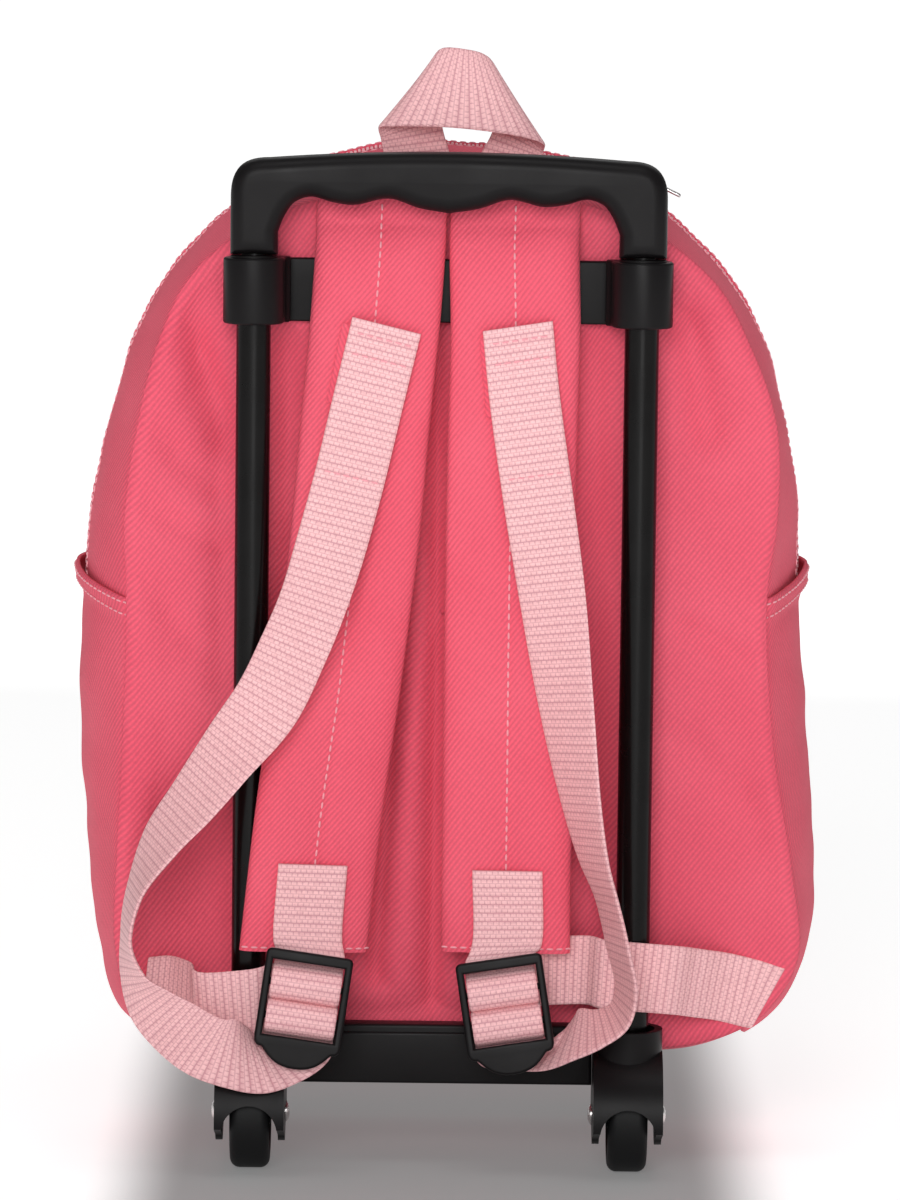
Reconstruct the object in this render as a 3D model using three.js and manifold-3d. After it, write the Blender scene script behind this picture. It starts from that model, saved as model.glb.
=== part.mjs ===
// A child's wheeled backpack: a soft polyester bag on a two-wheel trolley frame with a pull-out handle.
// Millimetres, +Z up. The wearer's side with the straps and the trolley faces -Y, and +X is to the right
// of someone who looks at that side. The origin is on the floor, under the middle of the bounding box.
import * as THREE from "three";
import { mergeVertices } from "three/addons/utils/BufferGeometryUtils.js";
import Module from "manifold-3d";

const wasm = await Module();
wasm.setup();

// Driving dimensions of the bag
const BAG_WIDTH = 266; // widest, over both side pockets
const BAG_HEIGHT = 329; // from the lowest point of the base to the top of the zip arch
const BAG_BASE = 31; // height of the bag's base above the floor
const BAG_DEPTH = 100; // from the back panel to the front panel's seam
const BACK_TUCK = 15; // how far the back seam lies inside the widest outline
const FRONT_TUCK = 9; // how far the front seam lies inside the widest outline
const FRONT_CROWN = 11; // how far the front panel swells past its seam
const BULGE_AT = 0.56; // share of the depth at which the gusset is widest
const CLOTH = 1.6; // wall of the polyester panels
const SEAM_GAP = 0.3; // between pieces that touch
const HEM_UP = 0.516; // height of the pocket mouths, as a share of the bag's height
const POCKET_CLOTH = 1.2;
const POCKET_SLACK = 1.8; // how far the pocket stands off at the middle of its mouth

// Driving dimensions of the zip
const ZIP_SLOT = 15; // opening between the two top gusset strips
const ZIP_TAPE_WIDTH = 25;
const ZIP_TAPE = 0.9;
const ZIP_CHAIN_WIDTH = 5.4;
const ZIP_CHAIN = 2.4;
const SLIDER_LENGTH = 11;
const SLIDER_WIDTH = 9;
const SLIDER_HEIGHT = 4;
const PULL_LENGTH = 24;
const PULL_WIDTH = 6;
const PULL_THICKNESS = 1.6;
const PULL_OVERLAP = 2; // how far the pull reaches over the slider's end

// Driving dimensions of the trolley
const TUBE_SPACING = 135.2; // between the axes of the two legs
const TUBE_OUT = 14.2; // from the back panel to the axes of the legs
const OUTER_TUBE = 12; // outer diameter of the fixed tubes
const OUTER_TUBE_WALL = 0.9;
const INNER_TUBE = 9; // outer diameter of the sliding tubes
const INNER_TUBE_WALL = 0.9;
const INNER_TUBE_END = 52; // height of the sliding tubes' lower ends, pushed in
const HANDLE_TOP_UP = 0.997; // height of the handle's top, as a share of the bag's height
const SLEEVE_END_UP = 0.8875; // height of the handle's lower ends, as a share of the bag's height
const HANDLE_SLEEVE = 16.5; // diameter of the handle's legs
const SLEEVE_BORE_DEPTH = 15;
const COLLAR = 21.4; // outer diameter
const COLLAR_HEIGHT = 23;
const COLLAR_LIP = 3; // the ring at the collar's top that the sliding tube runs in
const BRACKET_REACH = 12.6; // from a leg's axis to the end of the collar's bracket
const BRACKET_DEPTH = 6.4;
const BAR_THICKNESS = 4;
const UPPER_BAR_HEIGHT = 22.2;
const LOWER_BAR_HEIGHT = 21;
const LOWER_BAR_THICKNESS = 10;
const LOWER_BAR_BOTTOM = 29.5;

// Driving dimensions of the wheels, their housings and the stand
const WHEEL = 40; // diameter
const WHEEL_WIDTH = 14;
const WHEEL_SPACING = 132.8;
const AXLE = 4; // diameter
const AXLE_HEAD = 7.4;
const AXLE_HEAD_THICKNESS = 1.3;
const HUB_RECESS = 1.6; // how deep the wheel's side is hollowed round its hub
const TYRE_RIM = 2.4; // width of the tyre's flat rim on its side
const HUB = 9.6;
const TYRE_ROUND = 3.4; // rounding of the tyre's shoulders
const HOUSING_WIDTH = 24.4;
const HOUSING_TOP = 51.2;
const WHEEL_CLEARANCE = 1.4;
const HOOD_WALL = 2.2;
const FORK_WALL = 2.4;
const FORK_END = 10.4; // radius of the fork's ends round the axle
const ARCH_TOP = 26; // top of the arch that shows the wheel
const SOCKET_RECESS = 2.6;
const SOCKET_RECESS_WIDTH = 19;
const STAND_ARM_WIDTH = 11;
const STAND_ARM_HEIGHT = 4;
const FOOT_LENGTH = 11;
const FOOT_SPACING = 141; // between the middles of the feet

// Driving dimensions of the straps
const STRAP_WIDTH = 45.5;
const STRAP_THICKNESS = 7;
const WEBBING = 24.6; // width of all the webbing
const WEBBING_THICKNESS = 1.3;
const PATCH_THICKNESS = 0.9;

// Driving dimensions of the ladder buckles
const BUCKLE_WIDTH = 30.6;
const BUCKLE_RAIL = 2.6;
const BUCKLE_BAR = 2.4;
const BUCKLE_TOP_BAR = 3.8;
const BUCKLE_DEPTH = 4.2;
const FIRST_BAR_AT = 11.6; // from the buckle's top edge to its first bar
const SECOND_BAR_AT = 23.4;
const BUCKLE_PLATE_AT = 30.2;
const BUCKLE_LENGTH = 41;

// Driving dimensions of the grab handle
const GRAB_SPREAD = 58; // between the outer edges of its two folds
const GRAB_RISE = 41; // from the loop's foot to its top

const RIGHT = 1;
const LEFT = -1;
const BAG_TOP = BAG_BASE + BAG_HEIGHT;
const HALF_WIDTH = BAG_WIDTH / 2;
const HANDLE_TOP = BAG_BASE + HANDLE_TOP_UP * BAG_HEIGHT;
const SLEEVE_END = BAG_BASE + SLEEVE_END_UP * BAG_HEIGHT;
const WHEEL_RADIUS = WHEEL / 2;
const HOOD_RADIUS = WHEEL_RADIUS + WHEEL_CLEARANCE + HOOD_WALL;
const BAR_BACK = -SEAM_GAP;
const BAR_FACE = BAR_BACK - BAR_THICKNESS;
const COLLAR_TOP = SLEEVE_END - 4 * SEAM_GAP;
const CUT = 1; // how far a form that cuts reaches past what it cuts
const COLLAR_BOTTOM = COLLAR_TOP - COLLAR_HEIGHT;

const PINK = { color: "#ea5a76", roughness: 0.78, metalness: 0 };
const PALE = { color: "#f0b4bd", roughness: 0.6, metalness: 0 };
const BLACK = { color: "#1c1b1c", roughness: 0.42, metalness: 0 };
const STEEL = { color: "#141414", roughness: 0.25, metalness: 0.5 };
const RUBBER = { color: "#232324", roughness: 0.7, metalness: 0 };
const NICKEL = { color: "#c9c5c4", roughness: 0.3, metalness: 0.9 };

const bag = new THREE.Group();
const add = (name, geometry, look) => {
  const mesh = new THREE.Mesh(geometry, new THREE.MeshStandardMaterial(look));
  mesh.name = name;
  bag.add(mesh);
  return mesh;
};
const sideName = (side) => (side === LEFT ? "left" : "right");
const mix = (a, b, t) => a + (b - a) * t;
const smooth = (t) => {
  const k = Math.min(1, Math.max(0, t));
  return k * k * (3 - 2 * k);
};

// Solids from points

// A closed mesh from a list of points and a list of faces, each three indices, with its faces outwards.
function meshOf(points, faces) {
  const corner = new THREE.Vector3();
  const volume = faces.reduce((sum, [a, b, c]) => {
    corner.crossVectors(new THREE.Vector3(...points[a]), new THREE.Vector3(...points[b]));
    return sum + corner.dot(new THREE.Vector3(...points[c]));
  }, 0);
  const turned = volume < 0 ? faces.map(([a, b, c]) => [a, c, b]) : faces;
  const geometry = new THREE.BufferGeometry();
  geometry.setAttribute("position", new THREE.Float32BufferAttribute(points.flat(), 3));
  geometry.setIndex(turned.flat());
  return geometry;
}

// The four-cornered face a-b-c-d as two triangles.
const quad = (a, b, c, d) => [[a, b, c], [a, c, d]];

// Joins rings with equal numbers of points into one solid with flat ends. Each ring runs anticlockwise
// for someone who looks back along the loft.
function loft(rings) {
  const count = rings[0].length;
  const at = (i, j) => i * count + (j % count);
  const faces = [];
  for (let i = 0; i + 1 < rings.length; i++)
    for (let j = 0; j < count; j++)
      faces.push(...quad(at(i, j), at(i, j + 1), at(i + 1, j + 1), at(i + 1, j)));
  const last = rings.length - 1;
  for (let j = 1; j + 1 < count; j++) {
    faces.push([at(0, 0), at(0, j + 1), at(0, j)]);
    faces.push([at(last, 0), at(last, j), at(last, j + 1)]);
  }
  return meshOf(rings.flat(), faces);
}

// A wall between an outer and an inner grid of points. Rows run along the wall and columns across it.
// With ring set, the last row joins the first.
function wall(outer, inner, ring = false) {
  const rows = outer.length;
  const columns = outer[0].length;
  const points = [...outer.flat(), ...inner.flat()];
  const out = (i, j) => (i % rows) * columns + j;
  const inn = (i, j) => rows * columns + out(i, j);
  const faces = [];
  const steps = ring ? rows : rows - 1;
  for (let i = 0; i < steps; i++) {
    for (let j = 0; j + 1 < columns; j++) {
      faces.push(...quad(out(i, j), out(i + 1, j), out(i + 1, j + 1), out(i, j + 1)));
      faces.push(...quad(inn(i, j), inn(i, j + 1), inn(i + 1, j + 1), inn(i + 1, j)));
    }
    const edge = columns - 1;
    faces.push(...quad(out(i, 0), inn(i, 0), inn(i + 1, 0), out(i + 1, 0)));
    faces.push(...quad(out(i, edge), out(i + 1, edge), inn(i + 1, edge), inn(i, edge)));
  }
  if (!ring)
    for (let j = 0; j + 1 < columns; j++) {
      const end = rows - 1;
      faces.push(...quad(out(0, j), out(0, j + 1), inn(0, j + 1), inn(0, j)));
      faces.push(...quad(out(end, j), inn(end, j), inn(end, j + 1), out(end, j + 1)));
    }
  return meshOf(points, faces);
}

// Booleans

const solid = (geometry) => {
  const bare = geometry.clone();
  bare.deleteAttribute("normal");
  bare.deleteAttribute("uv");
  const merged = mergeVertices(bare, 1e-4);
  const vertProperties = new Float32Array(merged.attributes.position.array);
  const triVerts = new Uint32Array(merged.index.array);
  return new wasm.Manifold(new wasm.Mesh({ numProp: 3, vertProperties, triVerts }));
};
const geometryOf = (manifold) => {
  const { vertProperties, triVerts, numProp } = manifold.getMesh();
  const points = [];
  for (let i = 0; i < vertProperties.length; i += numProp)
    points.push([...vertProperties.slice(i, i + 3)]);
  const faces = [];
  for (let i = 0; i < triVerts.length; i += 3) faces.push([...triVerts.slice(i, i + 3)]);
  return meshOf(points, faces);
};

// A box between two corners.
function block(x0, x1, y0, y1, z0, z1) {
  return new THREE.BoxGeometry(x1 - x0, y1 - y0, z1 - z0).translate(
    (x0 + x1) / 2,
    (y0 + y1) / 2,
    (z0 + z1) / 2,
  );
}

// An upright cylinder on the point x, y from z0 to z1.
const column = (x, y, z0, z1, radius, sides) =>
  new THREE.CylinderGeometry(radius, radius, z1 - z0, sides)
    .rotateX(Math.PI / 2)
    .translate(x, y, (z0 + z1) / 2);

// A cylinder along X between x0 and x1.
const rod = (x0, x1, y, z, radius, sides) =>
  new THREE.CylinderGeometry(radius, radius, x1 - x0, sides)
    .rotateZ(Math.PI / 2)
    .translate((x0 + x1) / 2, y, z);

// The bag's outline, seen from the back

// Widest outline of the bag: height and half widths as shares of the bag's height and half width. The
// tucks say how far inside it the back seam lies, as shares of BACK_TUCK. The left side of the filled bag
// swells at its middle and the right side near the base. Rows run from the base to the top.
const OUTLINE = [
  { up: 0.004, left: 0.38, right: 0.38, tuckLeft: 0.64, tuckRight: 0.64 },
  { up: 0.012, left: 0.69, right: 0.7, tuckLeft: 0.62, tuckRight: 0.6 },
  { up: 0.05, left: 0.868, right: 0.892, tuckLeft: 0.62, tuckRight: 0.55 },
  { up: 0.123, left: 0.93, right: 1.0, tuckLeft: 0.64, tuckRight: 0.5 },
  { up: 0.231, left: 0.966, right: 1.013, tuckLeft: 0.95, tuckRight: 0.78 },
  { up: 0.36, left: 0.987, right: 0.992, tuckLeft: 1.25, tuckRight: 1.05 },
  { up: HEM_UP, left: 0.985, right: 0.962, tuckLeft: 1.3, tuckRight: 1.0 },
  { up: 0.61, left: 0.958, right: 0.957, tuckLeft: 1.02, tuckRight: 0.75 },
  { up: 0.714, left: 0.902, right: 0.909, tuckLeft: 0.84, tuckRight: 0.4 },
  { up: 0.8, left: 0.829, right: 0.845, tuckLeft: 0.68, tuckRight: 0.5 },
  { up: 0.868, left: 0.73, right: 0.738, tuckLeft: 0.5, tuckRight: 0.42 },
  { up: 0.936, left: 0.555, right: 0.56, tuckLeft: 0.62, tuckRight: 0.62 },
  { up: 0.98, left: 0.345, right: 0.35, tuckLeft: 0.86, tuckRight: 0.86 },
];
const HEM_ROW = OUTLINE.findIndex((row) => row.up === HEM_UP);
const STEPS_A_ROW = 2;

// The closed outline starts at the middle of the base and runs up the right side. A point's third
// coordinate carries its tuck, so that one smooth curve gives both.
const outlinePoint = (across, up, tuck) =>
  new THREE.Vector3(across * HALF_WIDTH, BAG_BASE + up * BAG_HEIGHT, tuck * BACK_TUCK);
const outlineCurve = new THREE.CatmullRomCurve3(
  [
    outlinePoint(0, 0, 0.64),
    ...OUTLINE.map((row) => outlinePoint(row.right, row.up, row.tuckRight)),
    outlinePoint(0, 1, 1),
    ...[...OUTLINE].reverse().map((row) => outlinePoint(-row.left, row.up, row.tuckLeft)),
  ],
  true,
  "centripetal",
);
const KNOTS = OUTLINE.length * 2 + 2;
const STATIONS = KNOTS * STEPS_A_ROW;
const RIGHT_HEM = (HEM_ROW + 1) * STEPS_A_ROW;
const LEFT_HEM = STATIONS - RIGHT_HEM;

// Station i of the outline: its place, its outward direction and its tuck.
const stations = Array.from({ length: STATIONS }, (_, i) => {
  const t = i / STATIONS;
  const place = outlineCurve.getPoint(t);
  const ahead = outlineCurve.getPoint((t + 1e-3) % 1);
  const behind = outlineCurve.getPoint((t + 1 - 1e-3) % 1);
  const run = new THREE.Vector2(ahead.x - behind.x, ahead.y - behind.y).normalize();
  return { x: place.x, z: place.y, outX: run.y, outZ: -run.x, tuck: place.z };
});

// The outline at a fractional station number, on the straight line between its neighbours.
function stationAt(number) {
  const low = stations[Math.floor(number) % STATIONS];
  const high = stations[(Math.floor(number) + 1) % STATIONS];
  const t = number - Math.floor(number);
  const between = (key) => mix(low[key], high[key], t);
  return {
    x: between("x"),
    z: between("z"),
    outX: between("outX"),
    outZ: between("outZ"),
    tuck: between("tuck"),
  };
}

// How far the gusset is drawn in under a pocket, 1 at its full depth.
const underPocket = (station) => {
  const up = (station.z - BAG_BASE) / BAG_HEIGHT;
  const side = smooth((Math.abs(station.x) / HALF_WIDTH - 0.8) / 0.1);
  return side * smooth((HEM_UP + 0.012 - up) / 0.03) * smooth((up - 0.04) / 0.08);
};

// A point of the gusset at a share of the bag's depth, lifted by rise along the outline's outward side.
function gussetPoint(station, across, rise) {
  const back = Math.max(0, 1 - across / BULGE_AT);
  const front = Math.max(0, (across - BULGE_AT) / (1 - BULGE_AT));
  const inset = station.tuck * back * back + FRONT_TUCK * front * front;
  const depth = mix(CLOTH + SEAM_GAP, BAG_DEPTH - CLOTH - SEAM_GAP, across);
  const out = rise - inset;
  return [station.x + station.outX * out, depth, station.z + station.outZ * out];
}
const pocketGap = (station, across) => {
  const mouth = smooth((station.z - BAG_BASE) / (HEM_UP * BAG_HEIGHT) - 0.2);
  return SEAM_GAP + POCKET_SLACK * Math.sin(Math.PI * across) * mouth;
};
const gussetRise = (station, across) =>
  -underPocket(station) * (POCKET_CLOTH + pocketGap(station, across));

// A strip of cloth on the gusset. numbers are its station numbers, shares its places in the bag's depth,
// and top and under give the rise of its outer and its inner face.
function strip(numbers, shares, top, under) {
  const grid = (rise) =>
    numbers.map((number) =>
      shares.map((across, j) => {
        const station = stationAt(typeof number === "function" ? number(across) : number);
        return gussetPoint(station, across, rise(station, across, j));
      }),
    );
  return wall(grid(top), grid(under));
}
const whole = (from, to) => Array.from({ length: to - from + 1 }, (_, i) => from + i);

// The panels of the bag

// Creases of the back panel: from and to points as shares of the half width and the bag's height, how
// deep and how wide as shares of BACK_TUCK. The cloth is drawn in along them.
const CREASES = [
  { x0: -0.62, up0: 0.83, x1: -0.8, up1: 0.7, deep: 0.26, wide: 0.9 },
  { x0: -0.56, up0: 0.6, x1: -0.8, up1: 0.66, deep: 0.16, wide: 0.8 },
  { x0: 0.6, up0: 0.84, x1: 0.66, up1: 0.66, deep: 0.24, wide: 0.8 },
  { x0: 0.62, up0: 0.5, x1: 0.82, up1: 0.58, deep: 0.16, wide: 0.9 },
  { x0: 0.62, up0: 0.28, x1: 0.84, up1: 0.42, deep: 0.14, wide: 0.9 },
  { x0: -0.6, up0: 0.2, x1: -0.8, up1: 0.1, deep: 0.26, wide: 1.2 },
  { x0: 0, up0: 0.12, x1: 0.02, up1: 0.8, deep: 0.2, wide: 0.9 },
];
function creaseDepth(x, z) {
  let depth = 0;
  for (const crease of CREASES) {
    const ax = crease.x0 * HALF_WIDTH;
    const az = BAG_BASE + crease.up0 * BAG_HEIGHT;
    const runX = crease.x1 * HALF_WIDTH - ax;
    const runZ = BAG_BASE + crease.up1 * BAG_HEIGHT - az;
    const along = ((x - ax) * runX + (z - az) * runZ) / (runX * runX + runZ * runZ);
    const t = Math.min(1, Math.max(0, along));
    const away = Math.hypot(x - ax - t * runX, z - az - t * runZ) / (crease.wide * BACK_TUCK);
    depth += crease.deep * BACK_TUCK * Math.exp(-away * away);
  }
  return depth;
}

// A panel inside a seam outline: rings that shrink towards the middle. yOf gives its face's depth.
const PANEL_RINGS = [1, 0.96, 0.68];
function panel(seam, yOf) {
  const centre = [0, BAG_BASE + BAG_HEIGHT / 2];
  const layers = [0, CLOTH].map((offset) =>
    [...PANEL_RINGS, 0].flatMap((share) =>
      (share === 0 ? [centre] : seam).map(([x, z]) => {
        const px = mix(centre[0], x, share);
        const pz = mix(centre[1], z, share);
        return [px, yOf(px, pz, share) + offset, pz];
      }),
    ),
  );
  const count = seam.length;
  const layer = layers[0].length;
  const last = PANEL_RINGS.length - 1;
  const at = (side, ring, j) => side * layer + ring * count + (j % count);
  const faces = [];
  for (let j = 0; j < count; j++) {
    for (let ring = 0; ring < last; ring++) {
      const next = ring + 1;
      faces.push(...quad(at(0, ring, j), at(0, ring, j + 1), at(0, next, j + 1), at(0, next, j)));
      faces.push(...quad(at(1, ring, j), at(1, next, j), at(1, next, j + 1), at(1, ring, j + 1)));
    }
    faces.push([at(0, last, j), at(0, last, j + 1), layer - 1]);
    faces.push([at(1, last, j + 1), at(1, last, j), 2 * layer - 1]);
    faces.push(...quad(at(0, 0, j), at(1, 0, j), at(1, 0, j + 1), at(0, 0, j + 1)));
  }
  return meshOf(layers.flat(), faces);
}
function addPanels() {
  const seam = (inset) => stations.map((s) => [s.x - s.outX * inset(s), s.z - s.outZ * inset(s)]);
  const backFace = (x, z, share) => creaseDepth(x, z) * smooth((0.96 - share) / 0.12);
  const frontFace = (x, z, share) => BAG_DEPTH - CLOTH + FRONT_CROWN * (1 - share ** 2.6);
  add("back_panel", panel(seam((s) => s.tuck), backFace), PINK);
  add("front_panel", panel(seam(() => FRONT_TUCK), frontFace), PINK);
}
addPanels();

// The gusset between the panels, with the zip and the pockets

const LOW_SHARES = [0, 0.16, 0.375, 0.56, 0.8, 1]; // places of the gusset's facets in the bag's depth
const CHAIN_STEP = 0.004; // share of the depth in which the zip's chain rises from its tape
function addGusset() {
  const zip = (width) => width / 2 / BAG_DEPTH;
  const slot = [0.5 - zip(ZIP_SLOT), 0.5 + zip(ZIP_SLOT)];
  const tape = [0.5 - zip(ZIP_TAPE_WIDTH), 0.5 + zip(ZIP_TAPE_WIDTH)];
  const chain = [0.5 - zip(ZIP_CHAIN_WIDTH), 0.5 + zip(ZIP_CHAIN_WIDTH)];
  const cloth = (station, across) => gussetRise(station, across) - CLOTH;
  const joint = RIGHT_HEM - 1; // the strips end one station below the pockets' mouths
  const gapShare = SEAM_GAP / (HEM_UP * BAG_HEIGHT / RIGHT_HEM);
  const low = whole(STATIONS - joint, STATIONS + joint);
  const backShares = [...LOW_SHARES.slice(0, 2), tape[0], slot[0]];
  const frontShares = [slot[1], tape[1], ...LOW_SHARES.slice(-2)];
  add("lower_gusset", strip(low, LOW_SHARES, gussetRise, cloth), PINK);
  const above = [joint + gapShare, ...whole(joint + 1, STATIONS - joint - 1), STATIONS - joint - gapShare];
  add("top_gusset_back", strip(above, backShares, gussetRise, cloth), PINK);
  add("top_gusset_front", strip(above, frontShares, gussetRise, cloth), PINK);
  const tapeShares = [tape[0], chain[0] - CHAIN_STEP, chain[0], chain[1], chain[1] + CHAIN_STEP, tape[1]];
  const lifted = (j) => (j === 2 || j === 3 ? ZIP_CHAIN - ZIP_TAPE : 0);
  const tapeTop = (station, across, j) => cloth(station, across) - SEAM_GAP + lifted(j);
  const tapeUnder = (station, across) => cloth(station, across) - SEAM_GAP - ZIP_TAPE;
  add("zip", strip(above, tapeShares, tapeTop, tapeUnder), PALE);
}
addGusset();

const POCKET_FROM = 5; // station of the pockets' lower seam
const HEM_DIP = 0.45; // how far the pocket's mouth climbs from the back to its middle, in stations
function addPockets() {
  const under = (station, across) => gussetRise(station, across) + pocketGap(station, across);
  const top = (station, across) => under(station, across) + POCKET_CLOTH;
  const climb = (across) => HEM_DIP * Math.min(1, across / 0.5);
  const rightMouth = (across) => RIGHT_HEM + climb(across);
  const leftMouth = (across) => LEFT_HEM - climb(across);
  const right = [...whole(POCKET_FROM, RIGHT_HEM), rightMouth];
  const left = [leftMouth, ...whole(LEFT_HEM, STATIONS - POCKET_FROM)];
  add("side_pocket_right", strip(right, LOW_SHARES, top, under), PINK);
  add("side_pocket_left", strip(left, LOW_SHARES, top, under), PINK);
}
addPockets();

// Straps and webbing

// A place on the worn side, in shares: across of the half width, up of the bag's height, out of TUBE_OUT.
const placeOf = (row) =>
  new THREE.Vector3(row.across * HALF_WIDTH, -row.out * TUBE_OUT, BAG_BASE + row.up * BAG_HEIGHT);

// The direction across a band: tilt turns it in the plane of the back panel, turn swings its right edge
// towards the wearer. Both are in degrees.
function acrossOf(tilt, turn) {
  const a = THREE.MathUtils.degToRad(tilt);
  const b = THREE.MathUtils.degToRad(turn);
  return new THREE.Vector3(Math.cos(b) * Math.cos(a), -Math.sin(b), Math.cos(b) * Math.sin(a));
}

// Smooth rows between the given ones. Every number in a row is carried by the same kind of curve.
function between(rows, steps) {
  const keys = Object.keys(rows[0]);
  const at = (row) => new THREE.Vector3(...row);
  const groups = [];
  for (let i = 0; i < keys.length; i += 3) groups.push(keys.slice(i, i + 3));
  const curves = groups.map(
    (group) =>
      new THREE.CatmullRomCurve3(rows.map((row) => at([0, 1, 2].map((k) => row[group[k]] ?? 0)))),
  );
  const spans = (rows.length - 1) * steps;
  return Array.from({ length: spans + 1 }, (_, i) => {
    const row = {};
    groups.forEach((group, g) => {
      const point = curves[g].getPoint(i / spans).toArray();
      group.forEach((key, k) => (row[key] = point[k]));
    });
    return row;
  });
}

// A flat band through centres, each with its direction across.
function band(centres, directions, width, thickness) {
  const faces = [-0.5, 0.5].map((side) =>
    centres.map((centre, i) => {
      const before = centres[Math.max(0, i - 1)];
      const after = centres[Math.min(centres.length - 1, i + 1)];
      const run = after.clone().sub(before);
      const face = new THREE.Vector3().crossVectors(directions[i], run).normalize();
      return [-0.5, 0.5].map((edge) =>
        centre
          .clone()
          .addScaledVector(directions[i], edge * width)
          .addScaledVector(face, side * thickness)
          .toArray(),
      );
    }),
  );
  return wall(faces[0], faces[1]);
}
function webbing(rows, steps, width = WEBBING, thickness = WEBBING_THICKNESS) {
  const all = between(rows, steps);
  return band(all.map(placeOf), all.map((row) => acrossOf(row.tilt, row.turn)), width, thickness);
}

// The shoulder straps: centre of the strap's rear face, its turn about its own length, and its thickness
// as a share of STRAP_THICKNESS. Rows run from the top seam to the sewn end. The left strap lies on the
// trolley's leg, the right one hangs free.
const STRAP_ROWS = {
  left: [
    { across: -0.175, up: 0.951, out: 0.032, tilt: 0, turn: 0, thick: 0.6 },
    { across: -0.177, up: 0.921, out: 0.19, tilt: 0, turn: 0, thick: 0.76 },
    { across: -0.18, up: 0.884, out: 0.336, tilt: 0, turn: 0, thick: 0.95 },
    { across: -0.191, up: 0.815, out: 0.345, tilt: 0, turn: 0, thick: 1 },
    { across: -0.214, up: 0.711, out: 0.458, tilt: 0, turn: -1, thick: 1 },
    { across: -0.235, up: 0.605, out: 0.74, tilt: 0, turn: -4, thick: 1 },
    { across: -0.268, up: 0.483, out: 1.04, tilt: 0, turn: -9, thick: 1 },
    { across: -0.29, up: 0.41, out: 1.2, tilt: 0, turn: -11, thick: 1 },
    { across: -0.325, up: 0.304, out: 1.22, tilt: 0, turn: -11, thick: 1 },
    { across: -0.366, up: 0.144, out: 1.22, tilt: -2, turn: -11, thick: 0.8 },
  ],
  right: [
    { across: 0.175, up: 0.951, out: 0.032, tilt: 0, turn: 0, thick: 0.6 },
    { across: 0.174, up: 0.921, out: 0.19, tilt: 0, turn: 0, thick: 0.76 },
    { across: 0.173, up: 0.884, out: 0.336, tilt: 0, turn: 0, thick: 0.95 },
    { across: 0.178, up: 0.815, out: 0.345, tilt: 0, turn: 0, thick: 1 },
    { across: 0.173, up: 0.666, out: 0.55, tilt: 0, turn: 1, thick: 1 },
    { across: 0.171, up: 0.514, out: 0.8, tilt: 0, turn: 2, thick: 1 },
    { across: 0.172, up: 0.331, out: 0.95, tilt: 0, turn: 2, thick: 1 },
    { across: 0.172, up: 0.144, out: 1.02, tilt: 0, turn: 2, thick: 0.8 },
  ],
};
const STRAP_SECTION = [
  { across: -1, rise: 0.36 },
  { across: -0.96, rise: 0.1 },
  { across: -0.86, rise: 0 },
  { across: 0.86, rise: 0 },
  { across: 0.96, rise: 0.1 },
  { across: 1, rise: 0.36 },
  { across: 0.97, rise: 0.72 },
  { across: 0.82, rise: 1 },
  { across: -0.82, rise: 1 },
  { across: -0.97, rise: 0.72 },
];
function shoulderStrap(rows) {
  const all = between(rows, 2);
  const rings = all.map((row) => {
    const across = acrossOf(row.tilt, row.turn);
    const out = new THREE.Vector3(across.y, -across.x, 0).normalize();
    return STRAP_SECTION.map((corner) =>
      placeOf(row)
        .addScaledVector(across, (corner.across * STRAP_WIDTH) / 2)
        .addScaledVector(out, corner.rise * row.thick * STRAP_THICKNESS)
        .toArray(),
    );
  });
  return loft(rings);
}

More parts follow.
